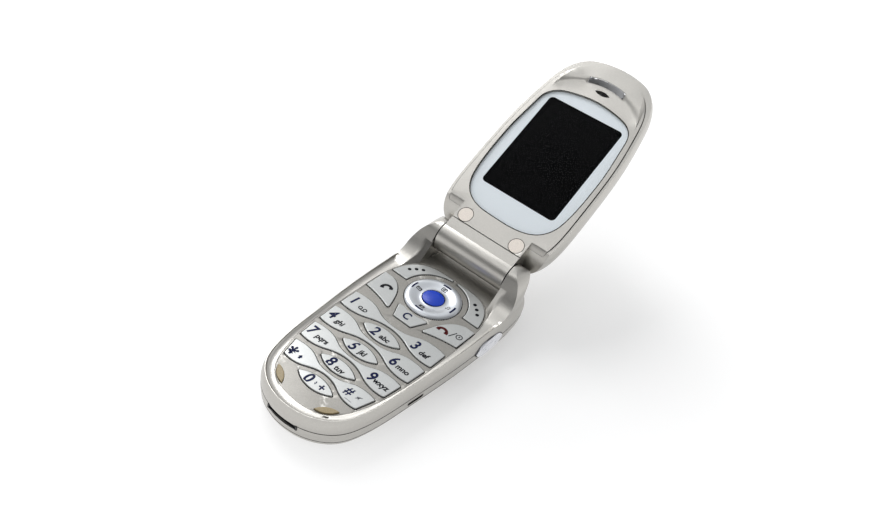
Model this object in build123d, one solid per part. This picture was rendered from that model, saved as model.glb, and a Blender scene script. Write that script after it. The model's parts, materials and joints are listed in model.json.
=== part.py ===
from build123d import *
import os
from math import cos, radians, sin

os.makedirs("parts", exist_ok=True)

# A compact flip phone, lying open on its back. Millimetres, +Z up, +X to the user's right and +Y from
# the chin to the hinge. The origin is the middle of the flat back, on the table.

# Overall sizes of the lower half
base_width = 44.0
base_length = 92.8
key_top_height = 10.3
rim_rise = 0.7
parting_height = 6.45
lid_height = 2.9
seam_gap = 0.15
cover_wall = 1.2
crest_inset = 0.8
overrun = 2.0

# Overall sizes of the upper half, measured from the hinge axis along it and across its thickness
flip_width = base_width
flip_reach = 83.6
flip_lobe_start = 4.2
flip_front = 4.85
flip_back = 4.85
flip_wall = 1.2
flip_edge_drop = 0.35
flip_edge_inset = 0.45
flip_seam = 0.12

# Hinge
open_tilt = 31.6
hinge_setback = 8.4
hinge_rise = 6.27
barrel_radius = 5.2
ear_width = 8.5
barrel_half_length = base_width / 2 - ear_width
barrel_bore = 3.2
hinge_clearance = 0.4
running_clearance = 0.05
ramp_angle = 55.0
ramp_reach = 16.5
ramp_clearance = 0.35
lobe_web = 5.6
funnel_lean = 0.7

# Keypad plate
side_band = 3.7
bezel_width = base_width - 2 * side_band
chin_band = 4.15
deck_depth = 2.95
bezel_drop = 0.35
bezel_thickness = 0.65
bezel_clearance = 0.08
bezel_bevel = 0.15
ledge_width = 0.8
ledge_thickness = 0.6

# Keys
key_gap = 0.25
key_travel = 0.3
key_bevel = 0.22
key_corner = 0.35
flange_lip = 0.3
flange_thickness = 0.3
flange_clearance = 0.05
nav_hole_share = 0.5137
nav_ring_rise = 0.4
nav_flange_lip = 0.2
nav_tilt_room = 0.17
ok_width_share = 0.1967
ok_depth_share = 0.1803
ok_rise = 0.65
ok_dome_radius = 12.0
ring_inner_web = 1.8
soft_web = 1.9
soft_rim_web = 0.35
soft_corner = 0.25
clear_web = 1.0

# Inner stack, from the table up
lid_floor = 1.0
battery_gap = 0.1
battery_side_room = 7.0
battery_width = base_width - 2 * battery_side_room
battery_low_share = -0.334
battery_length = 43.0
battery_height = 4.4
bay_clearance = 0.3
bay_roof = 0.65
board_thickness = 0.7
dome_thickness = 0.15
mat_thickness = 0.47
can_height = 0.85

# Even steps along a curved side that is drawn out by a margin
curve_steps = 14

# Places that many pieces share
base_half = base_width / 2
chin_y = -base_length / 2
hinge_end_y = base_length / 2
hinge_y = hinge_end_y - hinge_setback
hinge_z = key_top_height + hinge_rise
crest_z = key_top_height + rim_rise
bezel_top = key_top_height - bezel_drop
bezel_floor = bezel_top - bezel_thickness
ledge_floor = bezel_floor - ledge_thickness
bezel_half = bezel_width / 2
nav_hole_radius = nav_hole_share * bezel_half
ok_half_width = ok_width_share * bezel_half
ok_half_depth = ok_depth_share * bezel_half
bezel_low = chin_y + chin_band
bezel_high = hinge_y - barrel_radius - deck_depth
flange_top = bezel_floor - flange_clearance
flange_floor = flange_top - flange_thickness
mat_top = flange_floor - key_travel - flange_clearance
mat_floor = mat_top - mat_thickness
board_top = mat_floor - dome_thickness
board_floor = board_top - board_thickness
battery_floor = lid_floor + battery_gap
battery_roof = battery_floor + battery_height
bay_ceiling = battery_roof + battery_gap
bay_top = bay_ceiling + bay_roof
flip_half = flip_width / 2
flip_edge = flip_front - flip_edge_drop
knuckle_start = barrel_half_length + hinge_clearance

# Half outlines, as shares of a half width and of the run from the low end to the high end
base_shares = [
    (0, 0), (0.422, 0.0241), (0.677, 0.0772), (0.789, 0.1435), (0.896, 0.3245), (0.964, 0.5054),
    (1, 0.70), (0.987, 0.8613), (0.896, 0.9409), (0.66, 0.988), (0.40, 1),
]
bezel_shares = [
    (0, 0), (0.306, 0.0093), (0.55, 0.0403), (0.734, 0.107), (0.832, 0.1738), (0.905, 0.2514),
    (0.954, 0.3367), (0.985, 0.4376), (1, 0.60), (1, 0.77), (0.972, 0.841), (0.90, 0.903),
    (0.752, 0.960), (0.55, 0.988), (0.306, 0.9977), (0, 1),
]
flip_shares = [
    (0.70, 0), (0.80, 0.012), (0.90, 0.05), (0.972, 0.12), (1, 0.25), (1, 0.45), (0.973, 0.61),
    (0.90, 0.765), (0.777, 0.894), (0.56, 0.966), (0.305, 0.9914), (0, 1),
]
window_shares = [
    (0, 0), (0.42, 0.008), (0.71, 0.047), (0.88, 0.115), (0.965, 0.225), (1, 0.45), (0.985, 0.63),
    (0.935, 0.79), (0.87, 0.897), (0.74, 0.945), (0.46, 0.98), (0, 1),
]


def outline(shares, half_width, low, high):
    """A closed face through a half outline and its mirror image."""
    right = [(across * half_width, low + along * (high - low)) for across, along in shares]
    if right[0][0] == 0 and right[-1][0] > 0:
        right.reverse()
    left = [(-x, y) for x, y in reversed(right) if x > 0]
    if right[0][0] == 0:
        return make_face(Spline(*right, *left, periodic=True))
    rim = Spline(*right, *left)
    return make_face(Curve() + [rim, Line(rim @ 1, rim @ 0)])


def block(low, high):
    """A block between its lowest and its highest corner."""
    spans = [top - bottom for bottom, top in zip(low, high)]
    return Pos(*low) * Box(*spans, align=(Align.MIN, Align.MIN, Align.MIN))


def slab(face, low, high):
    """A flat face drawn at the table, pulled up from one height to another."""
    return extrude(Pos(0, 0, low) * face, high - low)


def rod(radius, low_x, high_x, y=0, z=0):
    """A round rod along X."""
    cylinder = Cylinder(radius, high_x - low_x, align=(Align.CENTER, Align.CENTER, Align.MIN))
    return Pos(low_x, y, z) * Rot(0, 90, 0) * cylinder


def post(radius, low, high, x=0, y=0):
    """A round post along Z."""
    return Pos(x, y, low) * Cylinder(radius, high - low, align=(Align.CENTER, Align.CENTER, Align.MIN))


def side_prism(points, low_x, high_x):
    """A prism along X with its outline given across Y and Z."""
    face = make_face(Polyline(*points, close=True))
    return Pos(low_x, 0, 0) * extrude(Plane.YZ * face, high_x - low_x)


def grown(face, margin):
    """A flat face drawn out by a margin, each curved side laid through even steps of its run."""
    edges = []
    for edge in offset(face, margin).edges():
        if edge.geom_type not in (GeomType.LINE, GeomType.CIRCLE):
            edge = Spline(*[edge @ (step / curve_steps) for step in range(curve_steps + 1)])
        edges.append(edge)
    return make_face(Curve() + edges)


def both_sides(shape):
    """A shape with its mirror image across the middle."""
    return [shape, mirror(shape, about=Plane.YZ)]


def base_section(inset, z):
    """The lower half's outline at one height, drawn in by an inset."""
    return Pos(0, 0, z) * outline(base_shares, base_half - inset, chin_y + inset, hinge_end_y - inset)


def flip_section(inset, z, tip_inset=None, lobe_inset=None):
    """The upper half's outline at one level, drawn in by an inset."""
    tip = inset if tip_inset is None else tip_inset
    lobe = inset if lobe_inset is None else lobe_inset
    face = outline(flip_shares, flip_half - inset, flip_lobe_start + lobe, flip_reach - tip)
    return Pos(0, 0, z) * face


def keypad_spot(across, along):
    """A point of the keypad from shares of its half width and length."""
    return (across * bezel_half, bezel_low + along * (bezel_high - bezel_low))


def open_flip(shape):
    """Carry a shape of the upper half from the hinge's own frame to the open pose."""
    return Pos(0, hinge_y, hinge_z) * Rot(open_tilt, 0, 0) * shape


def keep(name, shape):
    """Write one sub-part."""
    solids = shape if isinstance(shape, list) else shape.solids()
    export_step(Compound(label=name, children=list(solids)), f"parts/{name}.step")


# Keys, drawn flat
row_top_shares = [0.5989, 0.4686, 0.3398, 0.2157]
row_bottom_shares = [0.5043, 0.3739, 0.2514, 0.1319]
row_upper_half_shares = [0.965, 0.955, 0.905, 0.825]
row_lower_half_shares = [0.960, 0.926, 0.868, 0.735]
crest_wave_shares = [(0, -0.377), (0.3, -0.27), (0.51, -0.016), (0.72, 0.08), (1, 0)]
trough_wave_shares = [(0, 0.443), (0.31, 0.311), (0.53, 0.074), (0.77, -0.049), (1, 0)]
lens_centre_shares = [0.488, 0.3592, 0.2343, 0.1125]
lens_half_shares = [0.385, 0.367, 0.358, 0.355]
lens_depth_shares = [0.0376, 0.0345, 0.0326, 0.0318]
send_shares = [(-0.982, 0.796), (-0.80, 0.7955), (-0.57, 0.757), (-0.43, 0.69), (-0.366, 0.641)]
send_foot_shares = [(-0.39, 0.633), (-0.62, 0.653), (-0.975, 0.669)]
clear_shares = [(-0.31, 0.690), (0.31, 0.690), (0.186, 0.6144), (-0.186, 0.6144)]
nav_centre_share = 0.8255
soft_foot_share = 0.831
soft_rim_shares = [0, 0.25, 0.5, 0.72, 0.86, 1]
soft_tip_share = 0.05
row_lip_share = 0.2186
row_lip_drop = 0.08
nav_x, nav_y = keypad_spot(0, nav_centre_share)


def wave(shares, half_width, level, height):
    """A smooth wave from the left side of the keypad to its right side."""
    half = [(across * half_width, level + rise * height) for across, rise in shares]
    points = [(-x, y) for x, y in reversed(half[1:])] + half
    return Spline(*points)


def row_face(row):
    """The wavy strip that carries the two outer keys of one row."""
    top = keypad_spot(0, row_top_shares[row])[1]
    bottom = keypad_spot(0, row_bottom_shares[row])[1]
    upper = wave(crest_wave_shares, row_upper_half_shares[row] * bezel_half, top, top - bottom)
    lower = wave(trough_wave_shares, row_lower_half_shares[row] * bezel_half, bottom, top - bottom)
    edges = [upper, lower, Line(upper @ 0, lower @ 0), Line(upper @ 1, lower @ 1)]
    face = make_face(Curve() + edges)
    return fillet(face.vertices(), key_corner)


def lens_face(row):
    """The lens-shaped key in the middle of one row."""
    x, y = keypad_spot(0, lens_centre_shares[row])
    half = lens_half_shares[row] * bezel_half
    depth = lens_depth_shares[row] * (bezel_high - bezel_low)
    upper = ThreePointArc((x - half, y), (x, y + depth), (x + half, y))
    lower = ThreePointArc((x + half, y), (x, y - depth), (x - half, y))
    face = make_face(Curve() + [upper, lower])
    return fillet(face.vertices(), key_corner)


def send_face():
    """The call key at the left: a straight outer side and a curved side beside the ring."""
    head = [keypad_spot(*share) for share in send_shares]
    foot = [keypad_spot(*share) for share in send_foot_shares]
    edges = [Line(head[0], head[1]), Spline(*head[1:]), Line(head[-1], foot[0]), Spline(*foot)]
    edges.append(Line(foot[-1], head[0]))
    face = make_face(Curve() + edges)
    sharp = [corner for corner in face.vertices() if abs(corner.X - head[1][0]) > key_corner]
    return fillet(sharp, key_corner / 2)


def soft_face():
    """The crescent key at the left of the ring, between the ring's web and the plate's edge."""
    web = soft_rim_web + key_gap
    inner = outline(bezel_shares, bezel_half - web, bezel_low + web, bezel_high - web)
    foot = keypad_spot(0, soft_foot_share)[1]
    tip = soft_tip_share * bezel_half
    window = Pos(-bezel_half / 2 - tip, foot + bezel_half) * Rectangle(bezel_half, 2 * bezel_half)
    crescent = (inner & window) - Pos(nav_x, nav_y) * Circle(nav_hole_radius + soft_web)
    rim = crescent.edges().filter_by(GeomType.BSPLINE)[0]
    hollow = crescent.edges().filter_by(GeomType.CIRCLE)[0]
    smooth_rim = Spline(*[rim @ share for share in soft_rim_shares])
    ends = sorted([hollow @ 0, hollow @ 1], key=lambda point: point.X)
    middle = hollow @ 0.5
    edges = [smooth_rim, ThreePointArc(ends[0], middle, ends[1])]
    for point in (smooth_rim @ 0, smooth_rim @ 1):
        nearest = min(ends, key=lambda end: (end - point).length)
        edges.append(Line(point, nearest))
    face = make_face(Curve() + edges)
    return fillet(face.vertices(), soft_corner)


def clear_face():
    """The rounded trapezoid key under the ring."""
    corners = [keypad_spot(*share) for share in clear_shares]
    face = make_face(Polyline(*corners, close=True))
    face = (face - Pos(nav_x, nav_y) * Circle(nav_hole_radius + clear_web)).faces()[0]
    return fillet(face.vertices(), key_corner)


def key_solid(face, lip_half=base_half, lip_top=flange_top):
    """A key cap with a rounded top and a lip that keeps it under the plate."""
    cap = slab(face, flange_floor, key_top_height)
    cap = fillet(cap.faces().sort_by(Axis.Z)[-1].edges(), key_bevel)
    lip = slab(grown(face, flange_lip), flange_floor, lip_top)
    lip &= block((-lip_half, -base_length, 0), (lip_half, base_length, base_width))
    return cap + lip


row_faces = [row_face(row) for row in range(len(row_top_shares))]
lens_faces = [lens_face(row) for row in range(len(lens_centre_shares))]
soft_left_face = soft_face()
send_left_face = send_face()
clear_key_face = clear_face()
soft_right_face = mirror(soft_left_face, about=Plane.YZ)
end_right_face = mirror(send_left_face, about=Plane.YZ)

row_names = ["key_strip_1_3", "key_strip_4_6", "key_strip_7_9", "key_strip_star_hash"]
lens_names = ["key_2", "key_5", "key_8", "key_0"]
row_lip_half = row_lip_share * bezel_half
row_lip_top = flange_top - row_lip_drop
for name, face in zip(row_names, row_faces):
    keep(name, key_solid(face, row_lip_half, row_lip_top))
for name, face in zip(lens_names, lens_faces):
    keep(name, key_solid(face))
keep("key_soft_left", key_solid(soft_left_face))
keep("key_soft_right", key_solid(soft_right_face))
keep("key_send", key_solid(send_left_face))
keep("key_end", key_solid(end_right_face))
keep("key_clear", key_solid(clear_key_face))


# Navigation ring, its seat and the centre key
ring_outer = nav_hole_radius - key_gap
ring_inner = max(ok_half_width, ok_half_depth) + key_gap
ring_flange = ring_outer + key_gap + nav_flange_lip
ring_flange_top = flange_top - nav_tilt_room
ring_floor = ring_flange_top - flange_thickness
ring_top = key_top_height + nav_ring_rise
ring_shoulder_share = 0.8
seat_inner = ring_inner + key_gap
seat_outer = seat_inner + ring_inner_web
seat_clearance = 0.2
seat_thickness = 0.3
seat_top = flange_floor - seat_clearance
seat_floor = seat_top - seat_thickness
ring_profile = Polyline(
    (ring_inner, flange_floor),
    (seat_outer + key_gap, flange_floor),
    (seat_outer + key_gap, ring_floor),
    (ring_flange, ring_floor),
    (ring_flange, ring_flange_top),
    (ring_outer, ring_flange_top),
    (ring_outer, bezel_top + bezel_bevel),
)
ring_crown = Spline(
    (ring_outer, bezel_top + bezel_bevel),
    (ring_outer - 2 * key_gap, key_top_height + nav_ring_rise / 2),
    (ring_inner + (ring_outer - ring_inner) * ring_shoulder_share, ring_top),
    (ring_inner + (ring_outer - ring_inner) / 2, ring_top - nav_ring_rise / 3),
    (ring_inner, key_top_height),
)
ring_close = Line((ring_inner, key_top_height), (ring_inner, flange_floor))
ring_face = make_face(Curve() + [ring_profile, ring_crown, ring_close])
nav_ring = Pos(nav_x, nav_y) * revolve(Plane.XZ * ring_face, Axis.Z)
keep("nav_ring", nav_ring)
nav_seat = post(seat_outer, seat_floor, seat_top, nav_x, nav_y)
nav_seat -= post(seat_inner, seat_floor - overrun, seat_top + overrun, nav_x, nav_y)
keep("nav_seat", nav_seat)

ok_face = Pos(nav_x, nav_y) * Ellipse(ok_half_width, ok_half_depth)
ok_top = key_top_height + ok_rise
nav_ok = slab(ok_face, flange_floor, ok_top)
nav_ok &= Pos(nav_x, nav_y, ok_top - ok_dome_radius) * Sphere(ok_dome_radius)
keep("nav_ok", nav_ok)


# Keypad plate with its holes
bezel_face = outline(bezel_shares, bezel_half - bezel_clearance, bezel_low + bezel_clearance,
                     bezel_high - bezel_clearance)
hole_faces = row_faces + lens_faces
hole_faces += [soft_left_face, soft_right_face, send_left_face, end_right_face, clear_key_face]
bezel = slab(bezel_face, bezel_floor, bezel_top)
holes = [slab(grown(face, key_gap), bezel_floor - overrun, bezel_top + overrun) for face in hole_faces]
holes.append(post(nav_hole_radius, bezel_floor - overrun, bezel_top + overrun, nav_x, nav_y))
bezel -= holes

bumper_x_share = 0.475
bumper_y_share = 0.049
bumper_half_length = 3.4
bumper_half_depth = 1.05
bumper_angle = 37.0
bumper_rise = 0.45
bumper_seat_depth = 0.4
bumper_x, bumper_y = keypad_spot(bumper_x_share, bumper_y_share)


def bumper_face(grow=0):
    """The lens outline of one rubber bumper."""
    half = bumper_half_length + grow
    depth = bumper_half_depth + grow
    upper = ThreePointArc((-half, 0), (0, depth), (half, 0))
    lower = ThreePointArc((half, 0), (0, -depth), (-half, 0))
    return Pos(bumper_x, bumper_y) * Rot(0, 0, bumper_angle) * make_face(Curve() + [upper, lower])


bumper_seat = slab(bumper_face(bezel_clearance), bezel_top - bumper_seat_depth, bezel_top + overrun)
bezel -= both_sides(bumper_seat)
bumper = slab(bumper_face(), bezel_top - bumper_seat_depth, bezel_top + bumper_rise)
bumper = fillet(bumper.faces().sort_by(Axis.Z)[-1].edges(), key_bevel)
keep("chin_bumpers", both_sides(bumper))
keep("keypad_bezel", bezel)


# Front cover of the lower half: side wall, sloping rim, deck and the two hinge knuckles
wall_bulge_share = 0.55
dish_inset = 3.1
upper_body = loft([
    base_section(0, parting_height),
    base_section(crest_inset / 8, parting_height + (crest_z - parting_height) * wall_bulge_share),
    base_section(crest_inset, crest_z),
])
dish = loft([
    base_section(dish_inset, bezel_top),
    base_section(crest_inset + seam_gap, crest_z),
    base_section(crest_inset + seam_gap, crest_z + rim_rise),
])
cavity_top = ledge_floor
front_cavity = loft([
    base_section(cover_wall, parting_height - overrun),
    base_section(cover_wall, parting_height),
    base_section(cover_wall + crest_inset / 2, cavity_top),
])
front_cover = upper_body - dish - front_cavity
bezel_pocket = slab(outline(bezel_shares, bezel_half, bezel_low, bezel_high), bezel_floor, crest_z + overrun)
ledge_opening = slab(
    outline(bezel_shares, bezel_half - ledge_width, bezel_low + ledge_width, bezel_high - ledge_width),
    parting_height - overrun, crest_z,
)
front_cover -= [bezel_pocket, ledge_opening]
ledge_notches = [slab(grown(face, flange_lip + key_gap), parting_height, bezel_floor) for face in hole_faces]
front_cover -= ledge_notches

trough_depth = 0.5
trough = block(
    (-barrel_half_length, hinge_y - barrel_radius + key_gap, bezel_top - trough_depth),
    (barrel_half_length, hinge_y + barrel_radius, crest_z + overrun),
)
front_cover -= trough

knuckle_end = base_half
dome_centre_z = bezel_top
dome_height = hinge_z + barrel_radius - dome_centre_z
dome_reach = base_half - crest_inset / 2 - knuckle_start
ramp_top_y = hinge_y - barrel_radius * sin(radians(ramp_angle))
ramp_top_z = hinge_z + barrel_radius * cos(radians(ramp_angle))
knuckle_floor = ledge_floor
ramp_foot_y = hinge_y - ramp_reach
ramp_shares = [(0, 0), (0.237, 0.083), (0.466, 0.219), (0.678, 0.437), (0.866, 0.745), (1, 1)]
ramp_points = [
    (ramp_foot_y + run * (ramp_top_y - ramp_foot_y), bezel_top + rise * (ramp_top_z - bezel_top))
    for run, rise in ramp_shares
]
ramp_rest = [
    (ramp_top_y, ramp_top_z), (hinge_y, hinge_z), (hinge_y + barrel_radius, hinge_z),
    (hinge_y + barrel_radius, knuckle_floor), (ramp_foot_y, knuckle_floor), (ramp_foot_y, bezel_top),
]
ramp_face = make_face(Curve() + [Spline(*ramp_points), Polyline(*ramp_rest)])
knuckle_profile = Pos(knuckle_start, 0, 0) * extrude(Plane.YZ * ramp_face, knuckle_end - knuckle_start)
knuckle_profile += rod(barrel_radius, knuckle_start, knuckle_end, hinge_y, hinge_z)
dome_face = Plane.XZ * Pos(knuckle_start, dome_centre_z) * Ellipse(dome_reach, dome_height)
dome = Pos(0, hinge_y, 0) * extrude(dome_face, base_length / 2, both=True)
plan = slab(base_section(crest_inset, 0), 0, hinge_z + dome_height)
funnel_top = hinge_z - bezel_top
funnel_grow = funnel_lean * funnel_top


def plate_outline(grow, z=0):
    """The keypad plate's outline at one height, drawn out by a margin."""
    face = outline(bezel_shares, bezel_half + grow, bezel_low - grow, bezel_high + grow)
    return Pos(0, 0, z) * face


funnel_steps = [(bezel_clearance, bezel_top - overrun), (bezel_clearance, bezel_top), (funnel_grow, hinge_z)]
funnel = loft([plate_outline(grow, z) for grow, z in funnel_steps], ruled=True)
knuckle = ((knuckle_profile & dome & plan) - funnel).solids().sort_by(SortBy.VOLUME)[-1]
front_cover += both_sides(knuckle)

pin_radius = 1.6
pin_bore = pin_radius + running_clearance
bush_radius = barrel_bore - running_clearance
knuckle_socket_depth = 3.0
socket_end = knuckle_start + knuckle_socket_depth
bush_socket = rod(bush_radius, -socket_end, -knuckle_start + overrun, hinge_y, hinge_z)
pin_socket = rod(pin_bore, knuckle_start - overrun, socket_end, hinge_y, hinge_z)
front_cover -= [bush_socket, pin_socket]

mic_x_share = 0.55
mic_y_share = 0.028
mic_slot_length = 1.5
mic_slot_width = 0.4
mic_angle = 30.0
mic_x, mic_y = keypad_spot(mic_x_share, mic_y_share)
mic_slot = Pos(mic_x, mic_y) * Rot(0, 0, mic_angle) * SlotOverall(mic_slot_length, mic_slot_width)
front_cover -= slab(mic_slot, parting_height, crest_z)

rocker_half_length = 6.8
rocker_half_height = 2.6
rocker_y_share = 0.2
rocker_y = rocker_y_share * base_length
rocker_shoulder_share = 0.62
rocker_shoulder_rise = 0.86
rocker_depth = 1.65
rocker_z = parting_height - seam_gap
rocker_proud = 0.5
rocker_gap = 0.25


def rocker_face(grow=0):
    """The lens outline of the side key, across Y and Z."""
    half = rocker_half_length + grow
    depth = rocker_half_height + grow
    shoulder = half * rocker_shoulder_share
    rise = depth * rocker_shoulder_rise
    upper = Spline((-half, 0), (-shoulder, rise), (0, depth), (shoulder, rise), (half, 0))
    lower = Spline((half, 0), (shoulder, -rise), (0, -depth), (-shoulder, -rise), (-half, 0))
    return Plane.YZ * (Pos(rocker_y, rocker_z) * make_face(Curve() + [upper, lower]))


rocker_hole_depth = 3 * cover_wall
rocker_hole = extrude(rocker_face(rocker_gap), rocker_hole_depth + overrun)
rocker_hole = Pos(base_half - rocker_hole_depth, 0, 0) * rocker_hole
front_cover -= rocker_hole

boss_radius = 1.7
chin_boss_side_room = 9.1
chin_boss_y_share = -0.388
ear_boss_side_room = 5.4
ear_boss_y_share = 0.2963
boss_spots = [
    (base_half - chin_boss_side_room, chin_boss_y_share * base_length),
    (base_half - ear_boss_side_room, ear_boss_y_share * base_length),
]
boss_seat = board_floor + seam_gap / 3
screw_shank = 0.75
screw_head = 1.35
screw_head_height = 0.8
screw_floor = lid_height + seam_gap
screw_top = board_top + seam_gap
bosses = [post(boss_radius, boss_seat, ledge_floor + seam_gap, x, y) for x, y in boss_spots]
boss_bores = [post(screw_shank, boss_seat - overrun, screw_top + seam_gap, x, y) for x, y in boss_spots]
for boss, bore in zip(bosses, boss_bores):
    front_cover += both_sides(boss)
    front_cover -= both_sides(bore)
keep("front_cover", front_cover)


# Rear cover of the lower half, with the battery bay
lid_end_share = 0.165
lid_end_y = hinge_end_y - lid_end_share * base_length
floor_inset = 2.8
foot_inset = 1.2
foot_height = 0.9
lid_line_inset = 0.3
lower_body = loft([
    base_section(floor_inset, 0),
    base_section(foot_inset, foot_height),
    base_section(lid_line_inset, lid_height),
    base_section(0, parting_height - seam_gap),
])
below_lid_line = block((-base_width, -base_length, -overrun), (base_width, lid_end_y, lid_height))
lid_room = block(
    (-base_width, -base_length, -overrun),
    (base_width, lid_end_y + seam_gap, lid_height + seam_gap),
)
rear_cavity = loft([
    base_section(cover_wall + foot_inset, cover_wall),
    base_section(cover_wall + lid_line_inset, lid_height),
    base_section(cover_wall, parting_height),
    base_section(cover_wall, parting_height + overrun),
])
battery_low = battery_low_share * base_length
battery_high = battery_low + battery_length
bay = block(
    (-battery_width / 2 - bay_clearance, battery_low - bay_clearance, -overrun),
    (battery_width / 2 + bay_clearance, battery_high + bay_clearance, bay_ceiling),
)
bay_shell = block(
    (-battery_width / 2 - bay_clearance - cover_wall, battery_low - bay_clearance - cover_wall, screw_floor),
    (battery_width / 2 + bay_clearance + cover_wall, battery_high + bay_clearance + cover_wall, bay_top),
)
floor_top = screw_floor + cover_wall
floor_plate = slab(base_section(cover_wall / 2, 0), screw_floor, floor_top)
floor_plate &= block((-base_width, -base_length, 0), (base_width, lid_end_y + cover_wall, base_width))
rear_cover = lower_body - lid_room - rear_cavity
end_wall = block((-base_width, lid_end_y + seam_gap, 0), (base_width, lid_end_y + cover_wall, floor_top))
rear_cover = rear_cover + bay_shell + floor_plate + (end_wall & lower_body)
rear_cover -= bay

sim_length_share = 1.136
sim_length = sim_length_share * base_half
sim_thickness = 1.8
sim_end_room = 2.0
sim_low = battery_high + bay_clearance + cover_wall + 4 * seam_gap
sim_width = lid_end_y - sim_end_room - sim_low
sim_floor = floor_top + seam_gap / 2
sim_window = block((-sim_length / 2 + overrun, sim_low + overrun, 0),
                   (sim_length / 2 - overrun, sim_low + sim_width - overrun, sim_floor))
sim_high = sim_low + sim_width
sim_top = sim_floor + sim_thickness
sim_holder = block((-sim_length / 2, sim_low, sim_floor), (sim_length / 2, sim_high, sim_top))
sim_holder -= block((-sim_length / 2 + cover_wall, sim_low + cover_wall, 0),
                    (sim_length / 2 - cover_wall, sim_high - cover_wall, sim_floor + sim_thickness / 2))
keep("sim_holder", sim_holder)
rear_cover -= sim_window

for x, y in boss_spots:
    rear_cover += both_sides(post(boss_radius, screw_floor, boss_seat - seam_gap / 3, x, y))
for x, y in boss_spots:
    rear_cover -= both_sides(post(screw_shank + running_clearance, 0, key_top_height, x, y))
    rear_cover -= both_sides(post(screw_head + running_clearance, 0, screw_floor + screw_head_height, x, y))
screws = []
for x, y in boss_spots:
    head = post(screw_head, screw_floor + seam_gap / 3, screw_floor + screw_head_height - seam_gap / 3, x, y)
    shank = post(screw_shank - running_clearance, screw_floor + seam_gap, screw_top, x, y)
    slot = Pos(x, y, screw_floor) * Box(1.6 * screw_head, screw_head / 4, screw_head / 2)
    screws += both_sides(head + shank - slot)
keep("base_screws", screws)

connector_half_width = 5.4
connector_height = 1.45
connector_gap = 0.1
connector_lip = 0.45
tongue_low_share = 0.4
tongue_high_share = 0.6
connector_depth = 6.2
connector_back = chin_y + connector_depth
connector_top = parting_height - connector_gap
connector_floor = connector_top - connector_height
connector_hole = block(
    (-connector_half_width - connector_gap, chin_y - overrun, connector_floor - connector_gap),
    (connector_half_width + connector_gap, connector_back + connector_gap, parting_height),
)
rear_cover -= connector_hole
connector = block((-connector_half_width, chin_y + connector_lip, connector_floor),
                  (connector_half_width, connector_back, connector_top))
connector_tail = block((-connector_half_width, connector_back - overrun, connector_floor),
                       (connector_half_width, connector_back, board_floor - connector_gap))
connector_mouth = block(
    (-connector_half_width + connector_lip, chin_y, connector_floor + connector_lip / 2),
    (connector_half_width - connector_lip, connector_back - overrun, connector_top - connector_lip / 2),
)
tongue_half_width = connector_half_width - 2 * connector_lip
tongue_floor = connector_floor + connector_height * tongue_low_share
tongue_top = connector_floor + connector_height * tongue_high_share
connector_tongue = block(
    (-tongue_half_width, chin_y + 3 * connector_lip, tongue_floor),
    (tongue_half_width, connector_back - overrun / 2, tongue_top),
)
connector = connector + connector_tail - connector_mouth + connector_tongue
keep("system_connector", connector)

infrared_y_share = -0.149
infrared_y = infrared_y_share * base_length
infrared_z = 4.5
infrared_length = 6.0
infrared_height = 0.9
infrared_side_share = 0.905
infrared_side = infrared_side_share * base_half
infrared_depth_share = 0.9


def infrared_block(depth, grow):
    """The slot's room from a depth behind the side wall outwards, drawn out by a margin."""
    half_length = infrared_length / 2 + grow
    half_height = infrared_height / 2 + grow
    return block(
        (infrared_side - depth, infrared_y - half_length, infrared_z - half_height),
        (base_width, infrared_y + half_length, infrared_z + half_height),
    )


keep("infrared_window", infrared_block(infrared_depth_share * cover_wall, 0) & lower_body)
rear_cover -= infrared_block(2 * cover_wall, running_clearance)

contact_count = 3
contact_pitch = 2.6
contact_width = 1.2
contact_floor = floor_top + seam_gap
contacts = []
for index in range(contact_count):
    x = (index - (contact_count - 1) / 2) * contact_pitch
    near = battery_high + seam_gap / 2
    far = battery_high + bay_clearance + cover_wall + seam_gap
    low_x = x - contact_width / 2
    high_x = x + contact_width / 2
    contact_top = contact_floor + contact_width
    room = block((low_x - running_clearance, near, contact_floor - running_clearance),
                 (high_x + running_clearance, far + overrun, contact_top + running_clearance))
    rear_cover -= room & bay_shell
    contacts.append(block((low_x, near, contact_floor), (high_x, far, contact_top)))
keep("battery_contacts", contacts)

speaker_x_share = -0.4545
speaker_x = speaker_x_share * base_half
speaker_setback = 2.25
speaker_y = hinge_y - speaker_setback
speaker_length_share = 0.591
speaker_length = speaker_length_share * base_half
speaker_width = 6.2
speaker_height = 3.4
speaker_floor = cover_wall + seam_gap
speaker_slot = 5.2
speaker_slot_half = 0.35
speaker_slot_pitch = 2.0
for step in (-1, 0, 1):
    slot_y = speaker_y + step * speaker_slot_pitch
    rear_cover -= block((speaker_x - speaker_slot / 2, slot_y - speaker_slot_half, -overrun),
                        (speaker_x + speaker_slot / 2, slot_y + speaker_slot_half, speaker_floor))
speaker = Pos(speaker_x, speaker_y, speaker_floor + speaker_height / 2) * Box(
    speaker_length, speaker_width, speaker_height)
speaker = fillet(speaker.edges().filter_by(Axis.Z), speaker_width / 3)
keep("loudspeaker", speaker)

motor_radius = 2.1
motor_length_share = 0.364
motor_length = motor_length_share * base_half
motor_x_share = 0.136
motor_x = motor_x_share * base_half
motor_z = cover_wall + seam_gap + motor_radius
motor_weight_radius = 1.8
motor_weight_share = 1.1
motor = rod(motor_radius, motor_x, motor_x + motor_length, speaker_y, motor_z)
motor += rod(motor_radius / 4, motor_x + motor_length, motor_x + 1.5 * motor_length, speaker_y, motor_z)
weight_start = motor_x + motor_weight_share * motor_length
weight = rod(motor_weight_radius, weight_start, motor_x + 1.5 * motor_length, speaker_y, motor_z)
weight &= block((0, 0, 0), (base_width, base_length, motor_z + motor_radius / 4))
keep("vibration_motor", motor + weight)

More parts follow.
